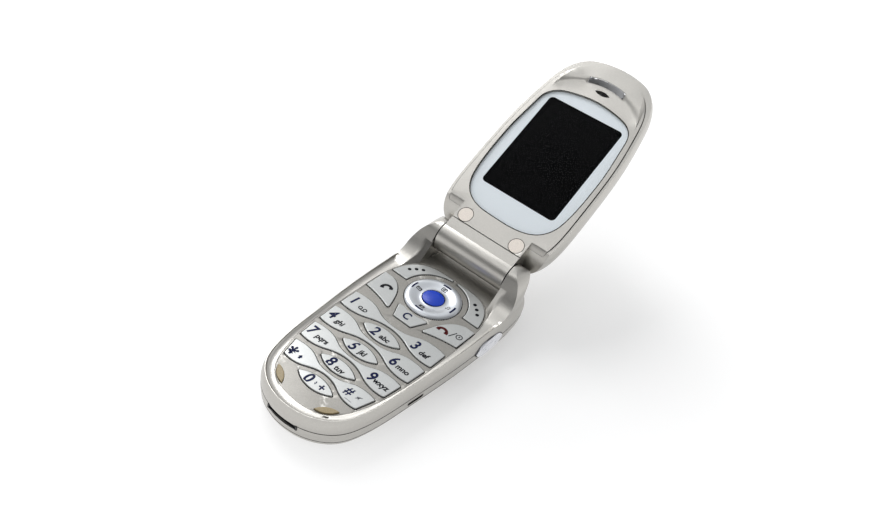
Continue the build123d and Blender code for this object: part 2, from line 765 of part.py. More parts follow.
antenna_far_room = 3.0
antenna_near_room = 7.0
antenna_low = hinge_end_y - antenna_near_room
antenna_high = hinge_end_y - antenna_far_room
antenna_half_share = 0.591
antenna_half = antenna_half_share * base_half
antenna = block((-antenna_half, antenna_low, speaker_floor), (antenna_half, antenna_high, parting_height))
antenna = fillet(antenna.edges().filter_by(Axis.Z), cover_wall)
keep("antenna", antenna)


# Sliding battery lid, its latch and the battery
lid_floor_inset = 1.6
lid_cavity = loft([
    base_section(cover_wall + lid_floor_inset, lid_floor),
    base_section(cover_wall + lid_line_inset, lid_height),
    base_section(cover_wall + lid_line_inset, lid_height + overrun),
])
lid_mouth = block((-battery_width / 2 - cover_wall, 0, lid_floor),
                  (battery_width / 2 + cover_wall, lid_end_y + overrun, lid_height + overrun))
battery_cover = (lower_body & below_lid_line) - lid_cavity - lid_mouth
latch_half_width = 4.0
latch_length = 3.5
latch_gap = 0.1
latch_travel = 1.5
latch_height = lid_floor
latch_low = lid_end_y + seam_gap + 2 * latch_gap
latch_high = latch_low + latch_length
latch_floor = latch_height / 3
latch_room = block((-latch_half_width - latch_gap, latch_low - latch_gap, -overrun),
                   (latch_half_width + latch_gap, latch_high + latch_travel + latch_gap, latch_height))
battery_latch = block((-latch_half_width, latch_low, latch_floor),
                      (latch_half_width, latch_high, latch_height - latch_gap))
for step in (1, 2, 3):
    ridge_y = latch_low + latch_length * step / 4
    battery_latch -= block((-latch_half_width + latch_gap, ridge_y - latch_gap, 0),
                           (latch_half_width - latch_gap, ridge_y + latch_gap, latch_floor + 2 * latch_gap))
rear_cover -= [latch_room, rocker_hole]
keep("battery_cover", battery_cover)
keep("battery_latch", battery_latch)
keep("rear_cover", rear_cover)
battery_half = battery_width / 2
battery = block((-battery_half, battery_low, battery_floor), (battery_half, battery_high, battery_roof))
battery = fillet(battery.edges().filter_by(Axis.Y), cover_wall)
keep("battery_pack", battery)


# Board, shields, domes and mat
board_inset = 2.6
board_end_room = 0.2
board_high = hinge_y + board_end_room
mic_radius = 1.8
mic_pull = 0.67
mic_spot = (mic_x - mic_pull, mic_y + 0.75 * mic_pull)
board_end = block((-base_width, -base_length, 0), (base_width, board_high, base_width))
board_holes = [post(mic_radius + seam_gap, 0, base_width, *mic_spot)]
for x, y in boss_spots:
    board_holes += both_sides(post(boss_radius + seam_gap, 0, base_width, x, y))


def board_layer(inset, low, high):
    """One flat layer of the stack behind the keys."""
    layer = slab(base_section(inset, 0), low, high) & board_end
    return layer - board_holes


main_board = board_layer(board_inset, board_floor, board_top)
keep("main_board", main_board)
keep("dome_sheet", board_layer(board_inset + seam_gap, board_top, board_top + dome_thickness))
seat_recess = post(seat_outer + seam_gap, seat_floor - seam_gap, base_width, nav_x, nav_y)
keypad_mat = board_layer(board_inset, mat_floor, mat_top) - seat_recess
keep("keypad_mat", keypad_mat)
keep("microphone", post(mic_radius, connector_top, mat_top, *mic_spot))

can_floor = bay_top + seam_gap / 2
can_top = board_floor - seam_gap / 3
can_shares = [
    ((-0.659, -0.323), (-0.045, -0.065)),
    ((0.045, -0.323), (0.659, -0.108)),
    ((-0.773, -0.043), (0.091, 0.124)),
]
cans = []
for (low_across, low_along), (high_across, high_along) in can_shares:
    can = block((low_across * base_half, low_along * base_length, can_floor),
                (high_across * base_half, high_along * base_length, can_top))
    cans.append(fillet(can.edges().filter_by(Axis.Z), cover_wall))
keep("shield_cans", cans)
cell_radius = 2.3
cell_shares = (-0.7, 0.2155)
cell_x = cell_shares[0] * base_half
cell_y = cell_shares[1] * base_length
keep("backup_cell", post(cell_radius, can_floor, can_top, cell_x, cell_y))

switch_y = 4.0
switch_depth = 1.6
switch_x = base_half - board_inset - cover_wall
switches = [
    block((switch_x - switch_depth, rocker_y + side * switch_y - switch_depth, board_floor - switch_depth),
          (switch_x, rocker_y + side * switch_y + switch_depth, board_floor - seam_gap / 3))
    for side in (-1, 1)
]
keep("side_switches", switches)

rocker_back = base_half - rocker_depth
rocker = Pos(rocker_back, 0, 0) * extrude(rocker_face(), base_half + rocker_proud - rocker_back)
rocker = chamfer(rocker.faces().sort_by(Axis.X)[-1].edges(), rocker_proud / 2)
keep("side_rocker", rocker)


# Hinge pieces that stay in the lower half's knuckles
cam_end = knuckle_start + knuckle_socket_depth - seam_gap
hinge_cam = rod(bush_radius - running_clearance, -cam_end, -knuckle_start, hinge_y, hinge_z)
hinge_cam -= rod(pin_bore, -cam_end - overrun, -knuckle_start + overrun, hinge_y, hinge_z)
keep("hinge_cam", hinge_cam)
bush_length = 4.5
bush_start = barrel_half_length - bush_length
hinge_bush = rod(pin_radius, bush_start, cam_end, hinge_y, hinge_z)
hinge_bush += rod(bush_radius - running_clearance, bush_start, barrel_half_length, hinge_y, hinge_z)
keep("hinge_bush", hinge_bush)


# Upper half, drawn in the hinge's own frame: +Y runs along it and +Z is the side with the display
back_shares = [(1.443, -1), (0.742, -0.897), (0.268, -0.639), (0.031, -0.165), (0, 0.536)]
back_cavity_shares = [(1.32, -0.753), (0.701, -0.66), (0.392, -0.33), (0.289, 0.124), (0.268, 0.763)]
back_steps = [(inset * flip_back, n * flip_back) for inset, n in back_shares]
back_steps.append((flip_edge_inset, flip_edge))
back_cavity_steps = [(inset * flip_back, n * flip_back) for inset, n in back_cavity_shares]
inner_floor = flip_front - flip_wall
inner_side_inset = 1.5
inner_tip_inset = 3.5
inner_low_inset = 1.6
neck_half = barrel_half_length
neck_reach = 12.0
neck_taper = 0.3

outer_shell = loft([flip_section(inset, n, inset, inset / 3) for inset, n in back_steps])
outer_cavity = loft([flip_section(inset, n, inset, inset + lobe_web) for inset, n in back_cavity_steps])
inner_half = flip_half - inner_side_inset
inner_low = flip_lobe_start + inner_low_inset
inner_high = flip_reach - inner_tip_inset
inner_outline = outline(flip_shares, inner_half, inner_low, inner_high)
inner_room = outline(flip_shares, inner_half + flip_seam, inner_low - flip_seam, inner_high + flip_seam)
scoop_points = [(hinge_y - y + ramp_clearance, hinge_z - z - ramp_clearance) for y, z in ramp_points]
scoop_rest = [
    scoop_points[-1], (-base_width, scoop_points[-1][1]), (-base_width, scoop_points[0][1] + overrun),
    (scoop_points[0][0], scoop_points[0][1] + overrun), scoop_points[0],
]
scoop_face = make_face(Curve() + [Spline(*scoop_points), Polyline(*scoop_rest)])
scoop_profile = Pos(neck_half, 0, 0) * extrude(Plane.YZ * scoop_face, base_width - neck_half)
scoops = both_sides(scoop_profile + rod(barrel_radius + hinge_clearance, neck_half, base_width))
neck_step = barrel_radius + flip_seam
neck_floor = inner_floor - flip_seam
neck = side_prism(
    [
        (0, -barrel_radius), (neck_reach, -flip_back + neck_taper),
        (neck_reach, neck_floor), (neck_step, neck_floor),
        (neck_step, flip_front), (barrel_radius / 3, flip_front), (0, barrel_radius - flip_seam),
    ],
    -neck_half, neck_half,
)
barrel = rod(barrel_radius, -neck_half, neck_half)
bore = rod(barrel_bore, -neck_half - overrun, neck_half + overrun)
outer_cover = outer_shell - slab(inner_room, inner_floor - flip_seam, flip_front + overrun) - outer_cavity
outer_cover -= scoops
outer_cover = outer_cover + neck + barrel
outer_cover -= bore

window_low = 12.6
window_tip_room = 16.1
window_side_room = 3.1
window_high = flip_reach - window_tip_room
window_half = flip_half - window_side_room
window_drop = 0.05
window_thickness = 0.65
window_clearance = 0.08
mask_thickness = 0.1
mask_side_band = 4.4
mask_low_band = 9.4
mask_high_band = 5.5
mask_half = window_half - mask_side_band
mask_low = window_low + mask_low_band
mask_high = window_high - mask_high_band
mask_corner = 1.6
window_top = flip_front - window_drop
window_floor = window_top - window_thickness
mask_floor = window_floor - mask_thickness


def window_outline(grow):
    """The display window's outline, drawn out by a margin."""
    return outline(window_shares, window_half + grow, window_low - grow, window_high + grow)


def display_outline(grow):
    """The rounded rectangle that shows the display."""
    middle = (mask_low + mask_high) / 2
    height = mask_high - mask_low + 2 * grow
    return Pos(0, middle) * RectangleRounded(2 * (mask_half + grow), height, mask_corner)


inner_cover = slab(inner_outline, inner_floor, flip_front)
inner_cover -= scoops
inner_start = neck_step + flip_seam
inner_cover -= block((-base_width, -base_width, -base_width), (base_width, inner_start, base_width))
inner_cover -= slab(window_outline(0), mask_floor, flip_front + overrun)
lcd_margin = 0.7
lcd_room = 2 * (lcd_margin + seam_gap)
lcd_middle = (mask_low + mask_high) / 2
lcd_opening = Pos(0, lcd_middle) * Rectangle(2 * mask_half + lcd_room, mask_high - mask_low + lcd_room)
inner_cover -= slab(lcd_opening, 0, flip_front)

pad_height = 1.1
pad_arch_setback = 31.9
pad_arch_centre = flip_reach - pad_arch_setback
pad_arch_share = 0.982
pad_arch_radius = pad_arch_share * flip_half
pad_lean = 2.4
pad_inset = 1.3
pad_edge_steps = [(pad_inset, flip_front - flip_wall / 2), (2 * pad_inset, flip_front + pad_height)]
pad_low = hinge_y - hinge_end_y
pad_high = hinge_y - chin_y
pad = loft([
    Pos(0, 0, n) * outline(base_shares, base_half - inset, pad_high - inset, pad_low + inset)
    for inset, n in pad_edge_steps
])
arch_low_radius = pad_arch_radius - pad_lean * flip_wall / (2 * pad_height)
arch = Pos(0, pad_arch_centre, flip_front - flip_wall / 2) * Cone(
    arch_low_radius, pad_arch_radius + pad_lean, flip_wall / 2 + pad_height,
    align=(Align.CENTER, Align.CENTER, Align.MIN))
pad -= arch
pad -= block((-base_width, -base_width, 0), (base_width, pad_arch_centre, base_width))
pad &= slab(inner_outline, 0, base_width)
pad = pad.solids().sort_by(SortBy.VOLUME)[-1]
inner_cover += pad

earpiece_setback = 12.5
earpiece_s = flip_reach - earpiece_setback
earpiece_half = 2.9
earpiece_depth = 0.9
earpiece_left = (-earpiece_half, earpiece_s)
earpiece_right = (earpiece_half, earpiece_s)
earpiece_upper = ThreePointArc(earpiece_left, (0, earpiece_s + earpiece_depth), earpiece_right)
earpiece_lower = ThreePointArc(earpiece_right, (0, earpiece_s - earpiece_depth), earpiece_left)
earpiece_face = make_face(Curve() + [earpiece_upper, earpiece_lower])
inner_cover -= slab(earpiece_face, 0, flip_front + overrun)
mesh_thickness = 0.2
mesh_floor = inner_floor - mesh_thickness - seam_gap / 3
earpiece_mesh = slab(grown(earpiece_face, cover_wall / 2), mesh_floor, mesh_floor + mesh_thickness)
keep("earpiece_mesh", open_flip(earpiece_mesh))

trim_half_share = 0.318
trim_half = trim_half_share * flip_half
trim_thickness = 0.3
trim_margin = 0.12
trim_foot = flip_front + trim_margin
trim_head = flip_front + pad_height - trim_margin


def arch_band(grow, low, high, thickness):
    """A piece of the pad's slanted riser, from the riser's face back into the pad."""
    lean = pad_lean / pad_height
    low_radius = pad_arch_radius + lean * (low - flip_front)
    high_radius = pad_arch_radius + lean * (high - flip_front)
    place = Pos(0, pad_arch_centre, low)
    align = (Align.CENTER, Align.CENTER, Align.MIN)
    body = place * Cone(low_radius + thickness, high_radius + thickness, high - low, align=align)
    body -= place * Cone(low_radius, high_radius, high - low, align=align)
    return body & block((-grow, pad_arch_centre, 0), (grow, flip_reach, base_width))


inner_cover -= arch_band(
    trim_half + window_clearance, trim_foot - window_clearance, trim_head + window_clearance, trim_thickness)
earpiece_trim = arch_band(trim_half, trim_foot, trim_head, trim_thickness - window_clearance)
keep("earpiece_trim", open_flip(earpiece_trim))

cap_side_room = 3.33
cap_x = neck_half - cap_side_room
cap_s = 8.36
cap_radius = 2.5
cap_thickness = 0.45
cap_floor = flip_front - cap_thickness
inner_cover -= both_sides(
    post(cap_radius + running_clearance, cap_floor - running_clearance, flip_front + overrun, cap_x, cap_s))
inner_cover -= both_sides(post(screw_shank + seam_gap / 2, 0, flip_front, cap_x, cap_s))
flip_head_seat = inner_floor + flip_wall / 4
inner_cover -= both_sides(post(screw_head + seam_gap / 2, flip_head_seat, flip_front, cap_x, cap_s))
screw_cap = post(cap_radius, cap_floor, flip_front, cap_x, cap_s)
keep("screw_caps", [open_flip(cap) for cap in both_sides(screw_cap)])
flip_head_floor = flip_head_seat + running_clearance
flip_screw_end = flip_front - 5 * flip_wall
flip_screw = post(screw_head, flip_head_floor, cap_floor - 2 * running_clearance, cap_x, cap_s)
flip_screw += post(screw_shank, flip_screw_end, inner_floor + flip_wall / 2, cap_x, cap_s)
keep("flip_screws", [open_flip(screw) for screw in both_sides(flip_screw)])
outer_cover -= both_sides(
    post(screw_shank + running_clearance, flip_screw_end - flip_wall, flip_front, cap_x, cap_s))
keep("inner_cover", open_flip(inner_cover))

display_window = slab(window_outline(-window_clearance), window_floor, window_top)
keep("display_window", open_flip(display_window))
display_mask = slab(window_outline(-2 * window_clearance), mask_floor, window_floor)
display_mask -= slab(display_outline(0), 0, flip_front)
keep("display_mask", open_flip(display_mask))
lcd_height = 2.4
lcd_top = mask_floor - seam_gap / 3
lcd_floor = lcd_top - lcd_height
lcd_length = mask_high - mask_low + 2 * lcd_margin
lcd_face = Pos(0, lcd_middle) * Rectangle(2 * (mask_half + lcd_margin), lcd_length)
keep("lcd_module", open_flip(slab(lcd_face, lcd_floor, lcd_top)))

flip_board_thickness = 0.6
window_low_room = 2.4
flip_board_tip_room = 9.6
flip_board_top = lcd_floor - seam_gap / 3
flip_board_floor = flip_board_top - flip_board_thickness
flip_board_low = window_low + window_low_room
flip_board_high = flip_reach - flip_board_tip_room
flip_board = block((-mask_half - lcd_margin, flip_board_low, flip_board_floor),
                   (mask_half + lcd_margin, flip_board_high, flip_board_top))
flip_board = fillet(flip_board.edges().filter_by(Axis.Z), overrun)
keep("flip_board", open_flip(flip_board))
receiver_half = 5.0
receiver_near = 4.5
receiver_far = 3.5
receiver = block((-receiver_half, earpiece_s - receiver_near, flip_board_top + seam_gap / 3),
                 (receiver_half, earpiece_s + receiver_far, mesh_floor - seam_gap / 3))
receiver = fillet(receiver.edges().filter_by(Axis.Z), overrun)
keep("receiver", open_flip(receiver))
magnet_radius = 1.5
magnet_x_share = -0.4545
magnet_setback = 13.1
magnet_x = magnet_x_share * flip_half
magnet_s = flip_reach - magnet_setback
magnet = post(magnet_radius, flip_board_top + seam_gap / 3, inner_floor - seam_gap / 3, magnet_x, magnet_s)
keep("magnet", open_flip(magnet))

outer_window_half = 9.0
outer_window_depth = 6.0
outer_window_share = 0.526
outer_window_s = outer_window_share * flip_reach
outer_window_thickness = 0.8
outer_face = Pos(0, outer_window_s) * RectangleRounded(
    2 * outer_window_half, 2 * outer_window_depth, overrun)
outer_room = Pos(0, outer_window_s) * RectangleRounded(
    2 * (outer_window_half + window_clearance), 2 * (outer_window_depth + window_clearance),
    overrun + window_clearance)
outer_window_top = -flip_back + outer_window_thickness
outer_window = slab(outer_face, -flip_back, outer_window_top) & outer_shell
outer_cover -= slab(outer_room, -flip_back - overrun, outer_window_top + window_clearance)
outer_opening = Pos(0, outer_window_s) * Rectangle(
    2 * outer_window_half - overrun, 2 * outer_window_depth - overrun)
outer_cover -= slab(outer_opening, -flip_back, 0)
keep("outer_window", open_flip(outer_window))
outer_display = slab(outer_opening, -flip_back + flip_wall + seam_gap, flip_board_floor - seam_gap / 3)
keep("outer_display", open_flip(outer_display))
keep("outer_cover", open_flip(outer_cover))

cartridge_radius = barrel_bore - running_clearance
cartridge_end_gap = 0.2
cartridge_start = -neck_half + cartridge_end_gap
cartridge_end = 1.0
cable_end_gap = 0.6
cartridge = rod(cartridge_radius, cartridge_start, cartridge_end)
cartridge += rod(pin_radius, -cam_end, cartridge_start + overrun)
keep("hinge_cartridge", open_flip(cartridge))
cable_thickness = 0.3
cable_radius = barrel_bore - 2 * cable_thickness
cable_start = cartridge_end + cable_end_gap
cable_end = bush_start - cable_end_gap
cable = rod(cable_radius + cable_thickness, cable_start, cable_end)
cable -= rod(cable_radius, cable_start - overrun, cable_end + overrun)
keep("flex_cable", open_flip(cable))
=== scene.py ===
"""Finishes, printed legends, lights and camera for the clamshell phone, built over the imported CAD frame."""

import json
import logging
import math
from dataclasses import dataclass, field
from enum import Enum

import bmesh
import bpy
from mathutils import Matrix, Vector, geometry
from mathutils.bvhtree import BVHTree

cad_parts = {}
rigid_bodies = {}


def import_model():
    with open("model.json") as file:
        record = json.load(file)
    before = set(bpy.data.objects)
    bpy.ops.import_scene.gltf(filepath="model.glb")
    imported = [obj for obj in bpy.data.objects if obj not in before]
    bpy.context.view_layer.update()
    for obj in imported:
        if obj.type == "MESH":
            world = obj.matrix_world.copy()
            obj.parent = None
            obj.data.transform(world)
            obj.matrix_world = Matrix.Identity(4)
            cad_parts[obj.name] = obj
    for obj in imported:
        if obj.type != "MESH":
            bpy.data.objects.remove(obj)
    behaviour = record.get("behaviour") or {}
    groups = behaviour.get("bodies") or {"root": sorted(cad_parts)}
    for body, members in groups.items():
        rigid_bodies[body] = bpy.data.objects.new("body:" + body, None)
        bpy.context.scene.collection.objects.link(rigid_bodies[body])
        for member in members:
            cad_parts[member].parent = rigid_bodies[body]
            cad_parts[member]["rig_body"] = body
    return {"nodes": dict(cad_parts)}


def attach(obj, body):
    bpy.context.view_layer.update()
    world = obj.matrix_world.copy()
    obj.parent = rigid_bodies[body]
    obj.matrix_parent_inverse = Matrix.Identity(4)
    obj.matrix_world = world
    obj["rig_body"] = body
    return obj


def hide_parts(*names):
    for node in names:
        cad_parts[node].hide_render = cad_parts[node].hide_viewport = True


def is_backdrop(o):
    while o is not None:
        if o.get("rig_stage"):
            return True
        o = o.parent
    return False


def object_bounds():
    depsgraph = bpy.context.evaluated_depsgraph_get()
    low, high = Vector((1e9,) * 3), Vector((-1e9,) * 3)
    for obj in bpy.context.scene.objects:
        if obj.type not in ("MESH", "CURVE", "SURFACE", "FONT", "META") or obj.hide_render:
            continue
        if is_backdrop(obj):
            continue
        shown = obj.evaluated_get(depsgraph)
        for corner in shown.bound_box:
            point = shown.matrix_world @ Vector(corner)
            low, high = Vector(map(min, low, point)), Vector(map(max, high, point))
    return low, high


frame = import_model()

logging.basicConfig(level=logging.INFO, format="%(message)s")
LOG = logging.getLogger("scene")

MM = 0.001
# One unit of the keypad drawing in millimetres, and where its zero lies along the phone
KEY_UNIT = 1.12
KEY_ZERO = -16.3
# The flip's hinge line, and how far the open flip leans back from flat
HINGE_Y = 38.0
HINGE_Z = 16.57
OPEN_TILT = math.radians(31.6)
NAV_CENTRE = (0.0, 17.27)
FULL_TURN = 2 * math.pi

# What a node's input takes
Feed = float | tuple | bpy.types.NodeSocket
# A place on a flat drawing in millimetres
Place = tuple[float, float]


def keypad(x: float, y: float) -> Place:
    """A place on the keypad.

    Args:
        x: Units to the right of the middle.
        y: Units up from the keypad drawing's zero.

    Returns:
        The place in millimetres, in the shared frame.
    """
    return (KEY_UNIT * x, KEY_UNIT * y + KEY_ZERO)


def flip_matrix() -> Matrix:
    """The open flip's place.

    Returns:
        The matrix that carries hinge coordinates in metres into the shared frame.
    """
    return Matrix.Translation((0, HINGE_Y * MM, HINGE_Z * MM)) @ Matrix.Rotation(OPEN_TILT, 4, "X")


class Side(Enum):
    """The two halves that the hinge joins."""

    LOWER = "lower_half"
    UPPER = "upper_half"


class Graph:
    """A node tree with short ways to add and join nodes."""

    def __init__(self, tree: bpy.types.NodeTree) -> None:
        """Starts on an empty tree.

        Args:
            tree: The tree to fill.
        """
        self.tree = tree
        self.tree.nodes.clear()
        self.count = 0

    def add(self, kind: str, inputs: dict | None = None, **settings) -> bpy.types.Node:
        """Adds one node.

        Args:
            kind: The node's type without the ShaderNode prefix, or its whole name.
            inputs: Socket names or numbers with a constant or the socket to join.
            **settings: Properties of the node.

        Returns:
            The new node.
        """
        name = kind if kind.startswith("Node") else "ShaderNode" + kind
        node = self.tree.nodes.new(name)
        node.location = (220 * (self.count % 8), -260 * (self.count // 8))
        self.count += 1
        for key, value in settings.items():
            setattr(node, key, value)
        for key, value in (inputs or {}).items():
            socket = node.inputs[key]
            if isinstance(value, bpy.types.NodeSocket):
                self.tree.links.new(value, socket)
            else:
                socket.default_value = value
        return node

    def math(
        self, operation: str, first: Feed, second: Feed = 0.0, clamp: bool = False
    ) -> bpy.types.NodeSocket:
        """One sum on two values.

        Args:
            operation: The Math node's operation.
            first: A number or socket.
            second: A number or socket.
            clamp: Whether the answer stays between 0 and 1.

        Returns:
            The answer's socket.
        """
        node = self.add("Math", {0: first, 1: second}, operation=operation, use_clamp=clamp)
        return node.outputs[0]

    def span(
        self, value: Feed, low: float, high: float, to_low: float = 0.0, to_high: float = 1.0
    ) -> bpy.types.NodeSocket:
        """Carries a value from one span to another, held at the ends.

        Args:
            value: The socket to carry over.
            low: Start of the old span.
            high: End of the old span.
            to_low: Start of the new span.
            to_high: End of the new span.

        Returns:
            The new value's socket.
        """
        sockets = {"Value": value, "From Min": low, "From Max": high, "To Min": to_low, "To Max": to_high}
        return self.add("MapRange", sockets, clamp=True).outputs[0]

    def blend(self, share: Feed, first: Feed, second: Feed) -> bpy.types.NodeSocket:
        """Blends two colours.

        Args:
            share: How much of the second colour shows.
            first: A colour or socket.
            second: A colour or socket.

        Returns:
            The blended colour's socket.
        """
        node = self.add("Mix", data_type="RGBA")
        for number, value in ((0, share), (6, first), (7, second)):
            if isinstance(value, bpy.types.NodeSocket):
                self.tree.links.new(value, node.inputs[number])
            else:
                node.inputs[number].default_value = value
        return node.outputs[2]

    def noise(self, scale: float, detail: float, distortion: float = 0.0) -> bpy.types.NodeSocket:
        """Soft noise over the surface.

        Args:
            scale: Cells per millimetre.
            detail: Octaves of finer noise.
            distortion: How far the noise is drawn out of shape.

        Returns:
            The noise value's socket.
        """
        inputs = {"Vector": self.place(scale), "Scale": 1.0, "Detail": detail, "Distortion": distortion}
        return self.add("TexNoise", inputs).outputs[0]

    def toward(self, ray: bpy.types.NodeSocket, heading: tuple[float, float, float]) -> bpy.types.NodeSocket:
        """How far a ray points along a heading.

        Args:
            ray: The ray's direction.
            heading: The heading.

        Returns:
            The dot product's socket.
        """
        return self.add("VectorMath", {0: ray, 1: heading}, operation="DOT_PRODUCT").outputs["Value"]

    def place(self, scale: float = 1.0) -> bpy.types.NodeSocket:
        """The surface's own place in millimetres.

        Args:
            scale: Cells per millimetre along each axis.

        Returns:
            The vector's socket.
        """
        coordinates = self.add("TexCoord").outputs["Object"]
        per_metre = scale / MM
        return self.add("Mapping", {"Vector": coordinates, "Scale": (per_metre,) * 3}).outputs[0]


class Groups:
    """The shared node groups, each made once."""

    def __init__(self) -> None:
        """Starts with no group made."""
        self.made: dict[str, bpy.types.NodeTree] = {}

    def _start(
        self, name: str, inputs: dict[str, tuple[str, object]], outputs: dict[str, str]
    ) -> tuple[Graph, bpy.types.Node, bpy.types.Node]:
        """Makes an empty group with its sockets.

        Args:
            name: The group's name.
            inputs: Socket names with their type and default.
            outputs: Socket names with their type.

        Returns:
            The graph, its input node and its output node.
        """
        tree = bpy.data.node_groups.new(name, "ShaderNodeTree")
        graph = Graph(tree)
        for key, (kind, default) in inputs.items():
            socket = tree.interface.new_socket(name=key, in_out="INPUT", socket_type=kind)
            socket.default_value = default
        for key, kind in outputs.items():
            tree.interface.new_socket(name=key, in_out="OUTPUT", socket_type=kind)
        entry = graph.add("NodeGroupInput")
        leave = graph.add("NodeGroupOutput")
        self.made[name] = tree
        return graph, entry, leave

    def flakes(self) -> bpy.types.NodeTree:
        """Metallic paint: fine bright flakes over a base colour, with the faint swell of a sprayed coat.

        Returns:
            The group, with Colour, Roughness and Height outputs.
        """
        name = "Metallic flakes"
        if name in self.made:
            return self.made[name]
        graph, entry, leave = self._start(
            name,
            {
                "Colour": ("NodeSocketColor", (0.6, 0.6, 0.6, 1)),
                "Sparkle": ("NodeSocketFloat", 0.25),
                "Roughness": ("NodeSocketFloat", 0.35),
            },
            {"Colour": "NodeSocketColor", "Roughness": "NodeSocketFloat", "Height": "NodeSocketFloat"},
        )
        cells = graph.add("TexVoronoi", {"Vector": graph.place(5.0), "Scale": 1.0}, feature="F1")
        grey = graph.add("SeparateColor", {0: cells.outputs["Color"]}).outputs[0]
        coarse = graph.noise(1.6, 3.0)
        mixed = graph.math("ADD", graph.math("MULTIPLY", grey, 0.6), graph.math("MULTIPLY", coarse, 0.4))
        spread = graph.math("MULTIPLY", graph.math("SUBTRACT", mixed, 0.5), entry.outputs["Sparkle"])
        factor = graph.math("ADD", spread, 1.0)
        scaled = graph.add("VectorMath", {0: entry.outputs["Colour"], "Scale": factor}, operation="SCALE")
        rough = graph.math("ADD", entry.outputs["Roughness"], graph.math("MULTIPLY", spread, 0.35), clamp=True)
        peel = graph.noise(0.35, 2.0)
        height = graph.math("ADD", graph.math("MULTIPLY", peel, 0.6), graph.math("MULTIPLY", grey, 0.12))
        graph.tree.links.new(scaled.outputs[0], leave.inputs["Colour"])
        graph.tree.links.new(rough, leave.inputs["Roughness"])
        graph.tree.links.new(height, leave.inputs["Height"])
        return graph.tree

    def handling(self) -> bpy.types.NodeTree:
        """Marks of use: worn edges, finger smears, and dirt with painted shade in the hollows.

        Returns:
            The group, with three masks: Wear, Smear, and the darkening of hollows, which is partly dirt and
                partly painted shade.
        """
        name = "Marks of handling and hollow shade"
        if name in self.made:
            return self.made[name]
        graph, entry, leave = self._start(
            name,
            {
                "Wear": ("NodeSocketFloat", 0.3),
                "Smear": ("NodeSocketFloat", 0.3),
                "Dirt and shade": ("NodeSocketFloat", 0.3),
            },
            {"Wear": "NodeSocketFloat", "Smear": "NodeSocketFloat", "Dirt and shade": "NodeSocketFloat"},
        )
        edge = graph.add("NewGeometry").outputs["Pointiness"]
        broken = graph.noise(0.9, 5.0)
        convex = graph.span(edge, 0.53, 0.62)
        patchy = graph.math("MULTIPLY", convex, graph.span(broken, 0.45, 0.62))
        wear = graph.math("MULTIPLY", patchy, entry.outputs[0])
        smooth = graph.noise(0.07, 4.0, 0.8)
        smear = graph.math("MULTIPLY", graph.span(smooth, 0.4, 0.7), entry.outputs[1])
        # Low pointiness finds the hollows, which the mask darkens: partly dirt, partly painted shade
        hollow = graph.span(edge, 0.48, 0.40)
        patch = graph.span(broken, 0.35, 0.6, 0.35, 1.0)
        dirt_and_shade = graph.math("MULTIPLY", graph.math("MULTIPLY", hollow, patch), entry.outputs[2])
        for socket, value in (("Wear", wear), ("Smear", smear), ("Dirt and shade", dirt_and_shade)):
            graph.tree.links.new(value, leave.inputs[socket])
        return graph.tree

    def dust(self) -> bpy.types.NodeTree:
        """Fine dust that settles on faces which look up.

        Returns:
            The group, with a Dust mask.
        """
        name = "Settled dust"
        if name in self.made:
            return self.made[name]
        graph, entry, leave = self._start(
            name, {"Amount": ("NodeSocketFloat", 0.05)}, {"Dust": "NodeSocketFloat"}
        )
        normal = graph.add("NewGeometry").outputs["Normal"]
        up = graph.span(graph.add("SeparateXYZ", {0: normal}).outputs[2], 0.2, 0.95)
        specks = graph.add("TexVoronoi", {"Vector": graph.place(0.55), "Scale": 1.0, "Randomness": 1.0})
        spots = graph.span(specks.outputs["Distance"], 0.10, 0.04)
        haze = graph.noise(0.12, 6.0)
        film = graph.math("ADD", graph.math("MULTIPLY", graph.span(haze, 0.4, 0.75), 0.6), spots)
        dust = graph.math("MULTIPLY", graph.math("MULTIPLY", film, up), entry.outputs[0], clamp=True)
        graph.tree.links.new(dust, leave.inputs["Dust"])
        return graph.tree

    def brushing(self) -> bpy.types.NodeTree:
        """Fine straight scratches along one axis, for drawn and turned metal.

        Returns:
            The group, with Shade and Height outputs.
        """
        name = "Straight brushing"
        if name in self.made:
            return self.made[name]
        graph, entry, leave = self._start(
            name,
            {"Strength": ("NodeSocketFloat", 0.4)},
            {"Shade": "NodeSocketFloat", "Height": "NodeSocketFloat"},
        )
        place = graph.place(1.0)
        stretched = graph.add("Mapping", {"Vector": place, "Scale": (0.4, 14.0, 14.0)}).outputs[0]
        lines = graph.add("TexNoise", {"Vector": stretched, "Scale": 1.0, "Detail": 4.0}).outputs[0]
        swing = graph.math("MULTIPLY", graph.math("SUBTRACT", lines, 0.5), entry.outputs[0])
        shade = graph.math("ADD", swing, 1.0)
        graph.tree.links.new(shade, leave.inputs["Shade"])
        graph.tree.links.new(lines, leave.inputs["Height"])
        return graph.tree


GROUPS = Groups()


